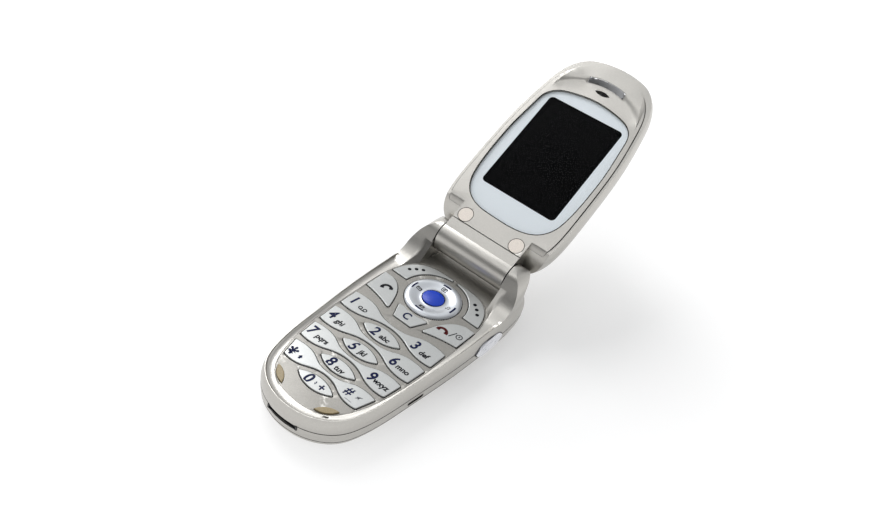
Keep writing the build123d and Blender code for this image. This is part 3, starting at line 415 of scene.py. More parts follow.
@dataclass(frozen=True)
class Finish:
    """One surface finish, built once as a material.

    Attributes:
        name: The material's name.
        colour: Base colour in linear light.
        metallic: How far the surface behaves as metal.
        roughness: Microscopic roughness.
        sparkle: Strength of the flakes or of the colour's mottling.
        coat: Weight of the clear lacquer.
        wear: Share of worn edges that shows.
        smear: Share of finger smears that shows.
        dirt_and_shade: Share of the darkening in hollows that shows, partly dirt and partly painted shade.
        dust: Share of settled dust that shows.
        worn_colour: What shows at worn edges.
        bump: Depth of the fine relief in millimetres.
        gloss: Strength of the clear reflection of a surface that isn't metal.
    """

    name: str
    colour: tuple[float, float, float]
    metallic: float = 0.0
    roughness: float = 0.4
    sparkle: float = 0.15
    coat: float = 0.0
    wear: float = 0.2
    smear: float = 0.25
    dirt_and_shade: float = 0.3
    dust: float = 0.04
    worn_colour: tuple[float, float, float] = (0.75, 0.74, 0.72)
    bump: float = 0.02
    gloss: float = 0.5

    def material(self) -> bpy.types.Material:
        """Builds the material, or gives the one already built.

        Returns:
            The material.
        """
        if self.name in bpy.data.materials:
            return bpy.data.materials[self.name]
        made = bpy.data.materials.new(self.name)
        made.use_nodes = True
        graph = Graph(made.node_tree)
        steady = {"Coat Roughness": 0.08, "IOR": 1.5, "Specular IOR Level": self.gloss}
        shader = graph.add("BsdfPrincipled", steady)
        out = graph.add("OutputMaterial")
        graph.tree.links.new(shader.outputs[0], out.inputs["Surface"])
        self.dress(graph, shader)
        return made

    def dress(self, graph: Graph, shader: bpy.types.Node) -> None:
        """Joins the shared groups to the shader.

        Args:
            graph: The material's graph.
            shader: The principled shader.
        """
        flakes = graph.add("Group", node_tree=GROUPS.flakes())
        flakes.inputs["Colour"].default_value = (*self.colour, 1)
        flakes.inputs["Sparkle"].default_value = self.sparkle
        flakes.inputs["Roughness"].default_value = self.roughness
        marks = graph.add("Group", {"Wear": self.wear, "Smear": self.smear, "Dirt and shade": self.dirt_and_shade},
                          node_tree=GROUPS.handling())
        dust = graph.add("Group", {"Amount": self.dust}, node_tree=GROUPS.dust())
        # Hollows turn dark brown: partly dirt, partly painted shade; the coat is thinned there too
        shaded_dirt_colour = graph.blend(marks.outputs["Dirt and shade"], flakes.outputs["Colour"], (0.10, 0.085, 0.07, 1))
        worn = graph.blend(marks.outputs["Wear"], shaded_dirt_colour, (*self.worn_colour, 1))
        colour = graph.blend(dust.outputs["Dust"], worn, (0.62, 0.60, 0.57, 1))
        smear = graph.math("MULTIPLY", marks.outputs["Smear"], 0.2)
        smeared = graph.math("ADD", flakes.outputs["Roughness"], smear)
        rough = graph.math("ADD", smeared, graph.math("MULTIPLY", dust.outputs["Dust"], 0.5), clamp=True)
        dulled = graph.math("MULTIPLY", dust.outputs["Dust"], self.metallic)
        shine = graph.math("SUBTRACT", self.metallic, dulled)
        coat_lost_in_hollows = graph.math("MULTIPLY", marks.outputs["Dirt and shade"], self.coat)
        coat = graph.math("SUBTRACT", self.coat, coat_lost_in_hollows, clamp=True)
        swell = {"Strength": 0.35, "Distance": self.bump * MM, "Height": flakes.outputs["Height"]}
        relief = graph.add("Bump", swell)
        for socket, value in (
            ("Base Color", colour), ("Roughness", rough), ("Metallic", shine),
            ("Coat Weight", coat), ("Normal", relief.outputs[0]),
        ):
            graph.tree.links.new(value, shader.inputs[socket])


@dataclass(frozen=True)
class BrushedFinish(Finish):
    """A bare metal finish with straight brushing."""

    def dress(self, graph: Graph, shader: bpy.types.Node) -> None:
        """Joins the brushing group to the shader.

        Args:
            graph: The material's graph.
            shader: The principled shader.
        """
        lines = graph.add("Group", {"Strength": self.sparkle}, node_tree=GROUPS.brushing())
        marks = graph.add("Group", {"Wear": self.wear, "Smear": self.smear, "Dirt and shade": self.dirt_and_shade},
                          node_tree=GROUPS.handling())
        tone = graph.add("VectorMath", {0: self.colour, "Scale": lines.outputs["Shade"]}, operation="SCALE")
        # Hollows turn dark brown: partly dirt, partly painted shade
        colour = graph.blend(marks.outputs["Dirt and shade"], tone.outputs[0], (0.08, 0.07, 0.06, 1))
        smear = graph.math("MULTIPLY", marks.outputs["Smear"], 0.2)
        rough = graph.math("ADD", smear, self.roughness, clamp=True)
        scratches = {"Strength": 0.3, "Distance": self.bump * MM, "Height": lines.outputs["Height"]}
        relief = graph.add("Bump", scratches)
        shader.inputs["Metallic"].default_value = self.metallic
        for socket, value in (("Base Color", colour), ("Roughness", rough), ("Normal", relief.outputs[0])):
            graph.tree.links.new(value, shader.inputs[socket])


@dataclass(frozen=True)
class ClearFinish(Finish):
    """A clear window: what lies behind it shows straight through, under a clean reflection."""

    def material(self) -> bpy.types.Material:
        """Builds the material, or gives the one already built.

        Returns:
            The material.
        """
        if self.name in bpy.data.materials:
            return bpy.data.materials[self.name]
        made = bpy.data.materials.new(self.name)
        made.use_nodes = True
        graph = Graph(made.node_tree)
        clean = {"Wear": 0.0, "Smear": self.smear, "Dirt and shade": 0.0}
        marks = graph.add("Group", clean, node_tree=GROUPS.handling())
        rough = graph.math("ADD", graph.math("MULTIPLY", marks.outputs["Smear"], 0.06), self.roughness)
        through = graph.add("BsdfTransparent", {"Color": (*self.colour, 1)})
        glint = graph.add("BsdfGlossy", {"Color": (1, 1, 1, 1), "Roughness": rough})
        share = graph.math("MULTIPLY", graph.add("Fresnel", {"IOR": 1.3}).outputs[0], self.coat)
        mixed = graph.add("MixShader", {0: share, 1: through.outputs[0], 2: glint.outputs[0]})
        graph.add("OutputMaterial", {"Surface": mixed.outputs[0]})
        return made


class Finishes(Enum):
    """Every finish on the phone and around it."""

    SILVER = Finish(
        "Satin champagne silver", (0.50, 0.485, 0.455), 0.95, 0.32, 0.12, 0.1, 0.0, 0.3, 0.0, 0.015, bump=0.006
    )
    PLATE = Finish(
        "Warm grey plate", (0.27, 0.26, 0.24), 0.6, 0.36, 0.25, 0.15, 0.6, 0.3, 0.6, 0.04, (0.85, 0.84, 0.80)
    )
    KEY = Finish("Silver key cap", (0.46, 0.47, 0.465), 0.5, 0.30, 0.12, 0.35, 0.1, 0.3, 0.7, 0.02)
    RING = Finish("Bright ring", (0.60, 0.625, 0.66), 0.55, 0.27, 0.05, 0.4, 0.1, 0.3, 0.5, 0.0)
    SIDE_KEY = Finish("Bright side key", (0.86, 0.87, 0.92), 0.35, 0.2, 0.05, 0.5, 0.0, 0.2, 0.3, 0.0)
    BLUE = Finish("Royal blue cap", (0.0, 0.045, 0.52), 0.0, 0.34, 0.25, 0.08, 0.0, 0.15, 0.2, 0.0, gloss=0.35)
    CHROME = Finish("Bright plating", (0.86, 0.86, 0.87), 1.0, 0.06, 0.03, 0.0, 0.0, 0.3, 0.1, 0.0)
    NAVY = Finish("Navy ink", (0.006, 0.010, 0.055), 0.0, 0.6, 0.10, 0.0, 0.0, 0.2, 0.0, 0.02, gloss=0.12)
    BLACK_INK = Finish("Black ink", (0.008, 0.008, 0.012), 0.0, 0.6, 0.10, 0.0, 0.0, 0.2, 0.0, 0.02, gloss=0.1)
    RED_INK = Finish(
        "Dark red ink", (0.075, 0.004, 0.005), 0.0, 0.6, 0.10, 0.0, 0.0, 0.2, 0.0, 0.02, gloss=0.12
    )
    GREY_INK = Finish("Grey ink", (0.14, 0.145, 0.16), 0.0, 0.6, 0.10, 0.0, 0.0, 0.2, 0.0, 0.02, gloss=0.15)
    MASK = Finish(
        "Pale blue-grey print", (0.86, 0.905, 0.93), 0.0, 0.45, 0.08, 0.0, 0.0, 0.3, 0.0, 0.0, gloss=0.5
    )
    SCREEN = Finish(
        "Unlit display", (0.0008, 0.0008, 0.001), 0.0, 0.6, 0.05, 0.0, 0.0, 0.0, 0.0, 0.0, gloss=0.02
    )
    RUBBER = Finish(
        "Yellowed rubber", (0.36, 0.28, 0.15), 0.0, 0.5, 0.5, 0.1, 0.3, 0.2, 0.8, 0.05, (0.6, 0.52, 0.35)
    )
    CAP = Finish("Pale pinkish cap", (0.90, 0.82, 0.74), 0.0, 0.42, 0.2, 0.1, 0.0, 0.3, 1.0, 0.04)
    DARK = Finish("Black moulding", (0.020, 0.020, 0.022), 0.0, 0.5, 0.25, 0.0, 0.2, 0.2, 0.2, 0.05)
    GAP = Finish("Shadowed joint", (0.012, 0.011, 0.010), 0.0, 0.8, 0.1, 0.0, 0.0, 0.0, 0.0, 0.0, gloss=0.03)
    INFRARED = Finish(
        "Dark red-black window", (0.006, 0.003, 0.004), 0.0, 0.3, 0.1, 0.0, 0.0, 0.2, 0.0, 0.02, gloss=0.1
    )
    SILICONE = Finish("Grey silicone", (0.24, 0.25, 0.26), 0.0, 0.6, 0.15, 0.0, 0.0, 0.1, 0.2, 0.05)
    BOARD = Finish("Green board", (0.018, 0.10, 0.045), 0.0, 0.38, 0.35, 0.3, 0.0, 0.1, 0.2, 0.02)
    FILM = Finish("Amber film", (0.36, 0.20, 0.045), 0.0, 0.3, 0.1, 0.4, 0.0, 0.1, 0.1, 0.02)
    BATTERY = Finish("Battery case", (0.10, 0.105, 0.115), 0.0, 0.48, 0.2, 0.0, 0.15, 0.2, 0.2, 0.03)
    STEEL = BrushedFinish("Brushed steel", (0.60, 0.60, 0.61), 1.0, 0.30, 0.45, 0.0, 0.2, 0.3, 0.3, 0.0)
    GOLD = BrushedFinish("Gold plating", (0.72, 0.50, 0.17), 1.0, 0.24, 0.3, 0.0, 0.1, 0.2, 0.1, 0.0)
    CLEAR = ClearFinish("Clear window", (0.985, 0.99, 0.995), 0.0, 0.05, coat=0.12, smear=0.6)


NODE_FINISHES: dict[Finishes, tuple[str, ...]] = {
    Finishes.SILVER: (
        "front_cover", "rear_cover", "battery_cover", "battery_latch", "inner_cover", "outer_cover",
    ),
    Finishes.PLATE: ("keypad_bezel",),
    Finishes.KEY: (
        "key_strip_1_3", "key_strip_4_6", "key_strip_7_9", "key_strip_star_hash", "key_2", "key_5", "key_8",
        "key_0", "key_soft_left", "key_soft_right", "key_send", "key_end", "key_clear",
    ),
    Finishes.RING: ("nav_ring",),
    Finishes.SIDE_KEY: ("side_rocker",),
    Finishes.BLUE: ("nav_ok",),
    Finishes.CHROME: ("earpiece_trim",),
    Finishes.MASK: ("display_mask",),
    Finishes.SCREEN: ("lcd_module", "outer_display"),
    Finishes.RUBBER: ("chin_bumpers",),
    Finishes.CAP: ("screw_caps",),
    Finishes.DARK: (
        "system_connector", "microphone", "loudspeaker", "antenna", "side_switches", "earpiece_mesh",
        "receiver", "nav_seat",
    ),
    Finishes.INFRARED: ("infrared_window",),
    Finishes.SILICONE: ("keypad_mat",),
    Finishes.BOARD: ("main_board", "flip_board"),
    Finishes.FILM: ("dome_sheet", "flex_cable"),
    Finishes.BATTERY: ("battery_pack",),
    Finishes.STEEL: (
        "shield_cans", "vibration_motor", "sim_holder", "backup_cell", "base_screws",
        "flip_screws", "hinge_cam", "hinge_bush", "hinge_cartridge", "magnet",
    ),
    Finishes.GOLD: ("battery_contacts",),
    Finishes.CLEAR: ("display_window", "outer_window"),
}


def dress(obj: bpy.types.Object, finish: Finishes) -> bpy.types.Object:
    """Gives an object one finish.

    Args:
        obj: The object.
        finish: Its finish.

    Returns:
        The same object.
    """
    obj.data.materials.clear()
    obj.data.materials.append(finish.value.material())
    return obj


def mesh_object(name: str, mesh: bpy.types.Mesh) -> bpy.types.Object:
    """Puts a mesh in the scene.

    Args:
        name: The object's name.
        mesh: Its mesh.

    Returns:
        The new object.
    """
    obj = bpy.data.objects.new(name, mesh)
    bpy.context.scene.collection.objects.link(obj)
    return obj


@dataclass
class Softener:
    """Rounds the sharp edges of one CAD node, as a moulding's edges are.

    Attributes:
        node: The CAD node.
        width: The rounding's width in millimetres.
        angle: Edges sharper than this many degrees are rounded.
    """

    node: str
    width: float
    angle: float = 38.0

    def build(self) -> bpy.types.Object:
        """Makes the rounded copy that stands for the node.

        Returns:
            The copy.
        """
        source = frame["nodes"][self.node]
        mesh = source.data.copy()
        if mesh.has_custom_normals:
            mesh.attributes.remove(mesh.attributes["custom_normal"])
        work = bmesh.new()
        work.from_mesh(mesh)
        bmesh.ops.remove_doubles(work, verts=work.verts, dist=2e-6)
        for face in work.faces:
            face.smooth = True
        work.to_mesh(mesh)
        work.free()
        copy = mesh_object(self.node + "_rounded", mesh)
        bevel = copy.modifiers.new("Rounded edges", "BEVEL")
        bevel.width = self.width * MM
        bevel.segments = 2
        bevel.limit_method = "ANGLE"
        bevel.angle_limit = math.radians(self.angle)
        bevel.use_clamp_overlap = True
        weigh = copy.modifiers.new("Level faces", "WEIGHTED_NORMAL")
        weigh.weight = 90
        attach(copy, source["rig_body"])
        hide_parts(self.node)
        return copy


class Draper:
    """Lays flat drawings on a CAD node's upper surface."""

    def __init__(self, node: str) -> None:
        """Reads the node's surface.

        Args:
            node: The CAD node.
        """
        self.node = node
        mesh = frame["nodes"][node].data
        points = [vertex.co.copy() for vertex in mesh.vertices]
        self.tree = BVHTree.FromPolygons(points, [tuple(face.vertices) for face in mesh.polygons])
        self.high = max(point.z for point in points)

    def lay(self, mesh: bpy.types.Mesh, lift: float) -> None:
        """Drops each point of a mesh on the surface.

        Args:
            mesh: A mesh whose points lie over the node.
            lift: Height above the surface in millimetres.
        """
        for vertex in mesh.vertices:
            start = Vector((vertex.co.x, vertex.co.y, self.high + MM))
            hit = self.tree.ray_cast(start, Vector((0, 0, -1)))[0]
            vertex.co.z = (hit.z if hit else self.high) + lift * MM
        mesh.update()


class Stencil:
    """A flat drawing made of simple shapes, in millimetres.

    Attributes:
        disc_sides: Sides of a disc.
        arc_step: Degrees in each piece of a curved band.
        fewest_steps: Fewest pieces of a curved band.
    """

    disc_sides = 20
    arc_step = 9
    fewest_steps = 4

    def __init__(self) -> None:
        """Starts with no shape."""
        self.shapes: list[list[Place]] = []

    def polygon(self, points: list[Place]) -> "Stencil":
        """Adds a filled polygon.

        Args:
            points: Its corners in order.

        Returns:
            The stencil itself.
        """
        self.shapes.append(points)
        return self

    def bar(self, start: Place, end: Place, width: float) -> "Stencil":
        """Adds a straight bar.

        Args:
            start: One end.
            end: The other end.
            width: The bar's width.

        Returns:
            The stencil itself.
        """
        along = Vector((end[0] - start[0], end[1] - start[1])).normalized() * width / 2
        side = Vector((-along.y, along.x))
        corners = [
            (start[0] + side.x, start[1] + side.y), (start[0] - side.x, start[1] - side.y),
            (end[0] - side.x, end[1] - side.y), (end[0] + side.x, end[1] + side.y),
        ]
        return self.polygon(corners)

    def disc(self, centre: Place, radius: float, stretch: float = 1.0) -> "Stencil":
        """Adds a disc.

        Args:
            centre: Its middle.
            radius: Its radius across.
            stretch: Its height over its width.

        Returns:
            The stencil itself.
        """
        turns = [FULL_TURN * step / self.disc_sides for step in range(self.disc_sides)]
        return self.polygon([
            (centre[0] + radius * math.cos(turn), centre[1] + stretch * radius * math.sin(turn))
            for turn in turns
        ])

    def arc(self, centre: Place, radius: float, width: float, start: float, end: float) -> "Stencil":
        """Adds a curved band, as a run of short pieces.

        Args:
            centre: The band's centre.
            radius: Its middle radius.
            width: Its width.
            start: First angle in degrees.
            end: Last angle in degrees.

        Returns:
            The stencil itself.
        """
        steps = max(self.fewest_steps, int(abs(end - start) / self.arc_step))
        turns = [math.radians(start + (end - start) * step / steps) for step in range(steps + 1)]
        for first, last in zip(turns, turns[1:]):
            corners = []
            for turn, reach in ((first, -1), (last, -1), (last, 1), (first, 1)):
                reach = radius + reach * width / 2
                corners.append((centre[0] + reach * math.cos(turn), centre[1] + reach * math.sin(turn)))
            self.polygon(corners)
        return self

    def mesh(self, name: str) -> bpy.types.Mesh:
        """Makes the drawing's mesh.

        Args:
            name: The mesh's name.

        Returns:
            The mesh, in metres.
        """
        work = bmesh.new()
        for shape in self.shapes:
            face = work.faces.new([work.verts.new((x * MM, y * MM, 0)) for x, y in shape])
            face.normal_update()
            if face.normal.z < 0:
                face.normal_flip()
        made = bpy.data.meshes.new(name)
        work.to_mesh(made)
        work.free()
        return made


@dataclass(frozen=True)
class Legend:
    """One printed legend on a key.

    Attributes:
        text: What it says.
        place: Its middle in keypad units.
        size: Letter height in millimetres.
        node: The key it is printed on.
        ink: Its finish.
        weight: Stroke thickening as a share of the size.
        shear: Slant of the letters.
        squeeze: Width over the font's own.
        capital: Height of the font's capitals as a share of its size.
    """

    text: str
    place: tuple[float, float]
    size: float
    node: str
    ink: Finishes = Finishes.NAVY
    weight: float = 0.012
    shear: float = 0.12
    squeeze: float = 0.9
    capital: float = 0.72

    def mesh(self) -> bpy.types.Mesh:
        """Makes the legend's mesh, centred at the origin.

        Returns:
            The mesh, in metres.
        """
        curve = bpy.data.curves.new("legend", "FONT")
        curve.body = self.text
        curve.size = self.size * MM / self.capital
        curve.shear = self.shear
        curve.offset = self.weight * self.size * MM
        curve.resolution_u = 5
        holder = mesh_object("legend", curve)
        bpy.context.view_layer.update()
        view = bpy.context.evaluated_depsgraph_get()
        made = bpy.data.meshes.new_from_object(holder.evaluated_get(view))
        bpy.data.objects.remove(holder)
        xs = [vertex.co.x for vertex in made.vertices]
        ys = [vertex.co.y for vertex in made.vertices]
        middle = Matrix.Translation((-(min(xs) + max(xs)) / 2, -(min(ys) + max(ys)) / 2, 0))
        made.transform(Matrix.Diagonal((self.squeeze, 1, 1, 1)) @ middle)
        return made


class Printer:
    """Prints legends and small drawings on the keys.

    Attributes:
        cuts: Cuts across each triangle of a drawing, so that it follows a curved key.
        legend_lift: Height of a legend above the surface in millimetres.
        drawing_lift: Height of a drawing above the surface in millimetres.
    """

    cuts = 3
    legend_lift = 0.012
    drawing_lift = 0.02

    def __init__(self) -> None:
        """Starts with no surface read."""
        self.drapers: dict[str, Draper] = {}
        self.count = 0

    def stamp(self, mesh: bpy.types.Mesh, node: str, ink: Finishes, lift: float) -> bpy.types.Object:
        """Lays a drawing on a key.

        Args:
            mesh: The drawing, at its place over the key.
            node: The key's CAD node.
            ink: The drawing's finish.
            lift: Height above the surface in millimetres.

        Returns:
            The printed object.
        """
        if node not in self.drapers:
            self.drapers[node] = Draper(node)
        self.drapers[node].lay(mesh, lift)
        self.count += 1
        printed = mesh_object(f"print_{node}_{self.count}", mesh)
        dress(printed, ink)
        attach(printed, frame["nodes"][node]["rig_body"])
        return printed

    def legend(self, legend: Legend) -> None:
        """Prints one legend.

        Args:
            legend: What to print.
        """
        mesh = legend.mesh()
        x, y = keypad(*legend.place)
        mesh.transform(Matrix.Translation((x * MM, y * MM, 0)))
        self.stamp(mesh, legend.node, legend.ink, self.legend_lift)

    def drawing(self, stencil: Stencil, node: str, ink: Finishes) -> None:
        """Prints one drawing.

        Args:
            stencil: The drawing, in place, in millimetres.
            node: The key it is printed on.
            ink: Its finish.
        """
        mesh = stencil.mesh("drawing")
        work = bmesh.new()
        work.from_mesh(mesh)
        bmesh.ops.triangulate(work, faces=work.faces)
        bmesh.ops.subdivide_edges(work, edges=work.edges, cuts=self.cuts, use_grid_fill=True)
        work.to_mesh(mesh)
        work.free()
        self.stamp(mesh, node, ink, self.drawing_lift)


@dataclass
class Keypad:
    """The keys' legends: digits, small letters and call symbols."""

    printer: Printer = field(default_factory=Printer)
    rows: tuple[str, ...] = ("key_strip_1_3", "key_strip_4_6", "key_strip_7_9", "key_strip_star_hash")

    def build(self) -> None:
        """Prints every legend and symbol."""
        for legend in self.digits() + self.letters():
            self.printer.legend(legend)
        self.handsets()
        self.soft_dots()
        self.small_signs()
        LOG.info("keypad: %d prints", self.printer.count)

    def digits(self) -> list[Legend]:
        """The large digits and signs.

        Returns:
            The legends.
        """
        one, four, seven, star = self.rows
        places = (
            ("1", (-13.5, 12.6), one), ("3", (8.3, 12.3), one), ("4", (-13.5, 4.2), four),
            ("6", (8.2, 3.9), four), ("7", (-12.7, -3.9), seven), ("9", (8.0, -4.2), seven),
            ("2", (-2.2, 8.2), "key_2"), ("5", (-2.2, 0.0), "key_5"), ("8", (-2.2, -8.1), "key_8"),
            ("0", (-2.0, -16.0), "key_0"),
        )
        made = [Legend(text, place, 3.6, node, Finishes.NAVY, 0.042) for text, place, node in places]
        made.append(Legend("*", (-11.0, -12.6), 5.2, star, Finishes.NAVY, 0.035, 0.0))
        made.append(Legend("#", (7.4, -12.0), 3.0, star, Finishes.NAVY, 0.03))
        made.append(Legend("+", (2.2, -16.0), 2.9, "key_0", Finishes.NAVY, 0.035, 0.0))
        made.append(Legend("C", (-0.3, 18.9), 2.9, "key_clear", Finishes.NAVY, 0.04, 0.0))
        return made

    def letters(self) -> list[Legend]:
        """The small letters beside the digits.

        Returns:
            The legends.
        """
        one, four, seven = self.rows[:3]
        places = (
            ("abc", (1.4, 7.8), "key_2"), ("def", (12.0, 11.3), one), ("ghi", (-10.2, 3.0), four),
            ("jkl", (1.0, -0.6), "key_5"), ("mno", (11.6, 2.9), four), ("pqrs", (-9.0, -5.0), seven),
            ("tuv", (1.1, -8.8), "key_8"), ("wxyz", (11.2, -5.1), seven),
        )
        return [
            Legend(text, place, 1.85, node, Finishes.BLACK_INK, 0.055, 0.1, 0.95)
            for text, place, node in places
        ]

    def handset(self, x: float, y: float, tilt: float) -> Stencil:
        """A telephone handset.

        Args:
            x: Its middle in keypad units.
            y: Its middle in keypad units.
            tilt: Its turn in degrees.

        Returns:
            The drawing.
        """
        drawing = Stencil()
        centre = Vector(keypad(x, y))
        turn = math.radians(tilt)
        down = Vector((math.sin(turn), -math.cos(turn)))
        pivot = centre + down * 1.1
        drawing.arc(tuple(pivot), 1.65, 0.95, tilt + 32, tilt + 148)
        for side in (-1, 1):
            angle = math.radians(tilt + 90 + side * 62)
            root = pivot + Vector((math.cos(angle), math.sin(angle))) * 1.62
            drawing.bar(tuple(root - down * 0.25), tuple(root + down * 0.8), 1.2)
        return drawing

    def handsets(self) -> None:
        """Prints the call and end symbols."""
        self.printer.drawing(self.handset(-11.6, 23.6, 28), "key_send", Finishes.BLACK_INK)
        self.printer.drawing(self.handset(9.6, 22.4, 0), "key_end", Finishes.RED_INK)
        slash = Stencil().bar(keypad(11.9, 21.6), keypad(12.9, 24.2), 0.34)
        ring = keypad(14.2, 23.4)
        slash.arc(ring, 0.95, 0.3, 0, 360).bar((ring[0], ring[1] - 0.35), (ring[0], ring[1] + 0.55), 0.3)
        self.printer.drawing(slash, "key_end", Finishes.BLACK_INK)

    def soft_dots(self) -> None:
        """Prints three dots on each soft key."""
        for side, node in ((-1, "key_soft_left"), (1, "key_soft_right")):
            dots = Stencil()
            for x, y in ((12.28, 34.24), (10.97, 35.84), (9.42, 37.10)):
                dots.disc(keypad(side * x, y), 0.62)
            self.printer.drawing(dots, node, Finishes.BLACK_INK)

    def small_signs(self) -> None:
        """Prints the small signs beside one, star, nought and hash."""
        reel = Stencil()
        for x in (-10.6, -9.0):
            reel.arc(keypad(x, 11.6), 0.55, 0.34, 0, 360)
        reel.bar(keypad(-10.6, 11.05), keypad(-9.0, 11.05), 0.34)
        self.printer.drawing(reel, self.rows[0], Finishes.BLACK_INK)
        x, y = keypad(-8.3, -12.9)
        arrow = Stencil().polygon([(x - 0.75, y), (x, y + 0.9), (x + 0.75, y)])
        arrow.bar((x, y - 0.7), (x, y + 0.1), 0.7)
        self.printer.drawing(arrow, self.rows[3], Finishes.NAVY)
        x, y = keypad(0.2, -16.0)
        spark = Stencil().polygon([(x - 0.15, y + 0.7), (x + 0.35, y + 0.1), (x - 0.25, y + 0.05)])
        spark.polygon([(x + 0.1, y - 0.7), (x - 0.4, y - 0.1), (x + 0.25, y - 0.05)])
        self.printer.drawing(spark, "key_0", Finishes.NAVY)
        x, y = keypad(10.4, -11.8)
        horn = Stencil().polygon([(x - 0.6, y - 0.25), (x - 0.6, y + 0.25), (x - 0.2, y + 0.25),
                                  (x + 0.2, y + 0.65), (x + 0.2, y - 0.65), (x - 0.2, y - 0.25)])
        horn.bar((x - 0.8, y - 0.7), (x + 0.75, y + 0.75), 0.2)
        self.printer.drawing(horn, self.rows[3], Finishes.GREY_INK)
        gap = Stencil().bar(keypad(7.9, -14.1), keypad(10.0, -14.1), 0.16)
        self.printer.drawing(gap, self.rows[3], Finishes.GREY_INK)


@dataclass
class Navigation:
    """The marks on the navigation ring.

    Attributes:
        printer: What prints them.
        bars: Direction in degrees and distance from the middle of each bar.
        bar_width: The bars' width in millimetres.
        bar_half: Half the angle that a bar takes, in degrees.
        stroke: Line width of the pictures in millimetres.
        reach: Distance of the pictures from the middle in millimetres.
    """

    printer: Printer = field(default_factory=Printer)
    bars: tuple[tuple[float, float], ...] = ((90, 7.3), (270, 7.3), (0, 7.7), (180, 7.7))
    bar_width: float = 0.62
    bar_half: float = 12.0
    stroke: float = 0.27
    reach: float = 5.75

    def build(self) -> None:
        """Prints the four bars and the four pictures."""
        marks = Stencil()
        for middle, radius in self.bars:
            marks.arc(NAV_CENTRE, radius, self.bar_width, middle - self.bar_half, middle + self.bar_half)
        self.printer.drawing(marks, "nav_ring", Finishes.NAVY)
        for shape in (self.book(90), self.envelope(180), self.folder(270), self.note(0)):
            self.printer.drawing(shape, "nav_ring", Finishes.BLACK_INK)
        LOG.info("navigation ring: %d prints", self.printer.count)

    def spot(self, angle: float) -> Place:
        """A picture's place on the ring.

        Args:
            angle: Its direction in degrees.

        Returns:
            The place in millimetres.
        """
        turn = math.radians(angle)
        return (NAV_CENTRE[0] + self.reach * math.cos(turn), NAV_CENTRE[1] + self.reach * math.sin(turn))

    def outline(self, x: float, y: float, wide: float, high: float) -> Stencil:
        """A thin rectangle's outline.

        Args:
            x: Its middle across.
            y: Its middle along.
            wide: Its width.
            high: Its height.

        Returns:
            The drawing.
        """
        corners = [(x - wide / 2, y - high / 2), (x + wide / 2, y - high / 2),
                   (x + wide / 2, y + high / 2), (x - wide / 2, y + high / 2)]
        drawing = Stencil()
        for first, last in zip(corners, corners[1:] + corners[:1]):
            drawing.bar(first, last, self.stroke)
        return drawing

    def envelope(self, angle: float) -> Stencil:
        """An envelope.

        Args:
            angle: Its direction from the middle.

        Returns:
            The drawing.
        """
        x, y = self.spot(angle)
        drawing = self.outline(x, y, 1.6, 1.1)
        fold = (x, y - 0.05)
        return drawing.bar((x - 0.8, y + 0.5), fold, self.stroke).bar(fold, (x + 0.8, y + 0.5), self.stroke)

    def book(self, angle: float) -> Stencil:
        """An open book.

        Args:
            angle: Its direction from the middle.

        Returns:
            The drawing.
        """
        x, y = self.spot(angle)
        drawing = self.outline(x - 0.45, y, 0.85, 1.2)
        drawing.shapes += self.outline(x + 0.45, y, 0.85, 1.2).shapes
        for page in (x - 0.45, x + 0.45):
            drawing.bar((page, y - 0.2), (page, y + 0.3), self.stroke)
        return drawing

    def folder(self, angle: float) -> Stencil:
        """An index card.

        Args:
            angle: Its direction from the middle.

        Returns:
            The drawing.
        """
        x, y = self.spot(angle)
        drawing = self.outline(x, y, 1.5, 1.05)
        drawing.disc((x - 0.35, y + 0.05), 0.25)
        return drawing.bar((x + 0.1, y + 0.15), (x + 0.55, y + 0.15), self.stroke)

    def note(self, angle: float) -> Stencil:
        """A note of music.

        Args:
            angle: Its direction from the middle.

        Returns:
            The drawing.
        """
        x, y = self.spot(angle)
        drawing = Stencil()
        for side in (-0.45, 0.45):
            drawing.disc((x + side, y - 0.45), 0.28, 0.8)
            drawing.bar((x + side + 0.22, y - 0.4), (x + side + 0.22, y + 0.5), 0.19)
        return drawing.bar((x - 0.23, y + 0.5), (x + 0.67, y + 0.5), 0.24)


@dataclass
class Housing:
    """Finishes of every CAD node and the rounded copies of the sharp mouldings."""

    rounded: tuple[Softener, ...] = (
        Softener("keypad_bezel", 0.16),
        Softener("front_cover", 0.10),
        Softener("inner_cover", 0.12),
        Softener("earpiece_trim", 0.3),
    )
    mask_drop: float = 0.03

    def build(self) -> None:
        """Dresses the nodes and rounds the mouldings."""
        for finish, nodes in NODE_FINISHES.items():
            for node in nodes:
                dress(frame["nodes"][node], finish)
        missing = set(frame["nodes"]) - {node for nodes in NODE_FINISHES.values() for node in nodes}
        if missing:
            LOG.info("no finish for %s", sorted(missing))
        for softener in self.rounded:
            softener.build()
        self.lower_mask()
        LOG.info("housing: %d nodes dressed", len(frame["nodes"]))

    def lower_mask(self) -> None:
        """Sets the printed border a hair below the window, so that the two faces don't share a plane."""
        source = frame["nodes"]["display_mask"]
        mesh = source.data.copy()
        normal = flip_matrix().to_3x3() @ Vector((0, 0, 1))
        mesh.transform(Matrix.Translation(-self.mask_drop * MM * normal))
        border = mesh_object("display_border", mesh)
        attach(border, Side.UPPER.value)
        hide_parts("display_mask")


@dataclass(frozen=True)
class Frame2D:
    """A flat drawing plane in the shared frame.

    Attributes:
        matrix: Carries the plane's own metres into the shared frame.
    """

    matrix: Matrix

    def flat(self, node: str, low: float, high: float) -> list[Vector]:
        """The outermost points of a node between two levels, seen square on.

        Args:
            node: The CAD node.
            low: Lowest level in millimetres.
            high: Highest level in millimetres.

        Returns:
            The points of the convex outline in millimetres, in order.
        """
        back = self.matrix.inverted()
        points = [back @ vertex.co / MM for vertex in frame["nodes"][node].data.vertices]
        chosen = [Vector((p.x, p.y)) for p in points if low <= p.z <= high]
        order = geometry.convex_hull_2d(chosen)
        loop = [chosen[index] for index in order]
        return [p for i, p in enumerate(loop) if (p - loop[i - 1]).length > 0.02]


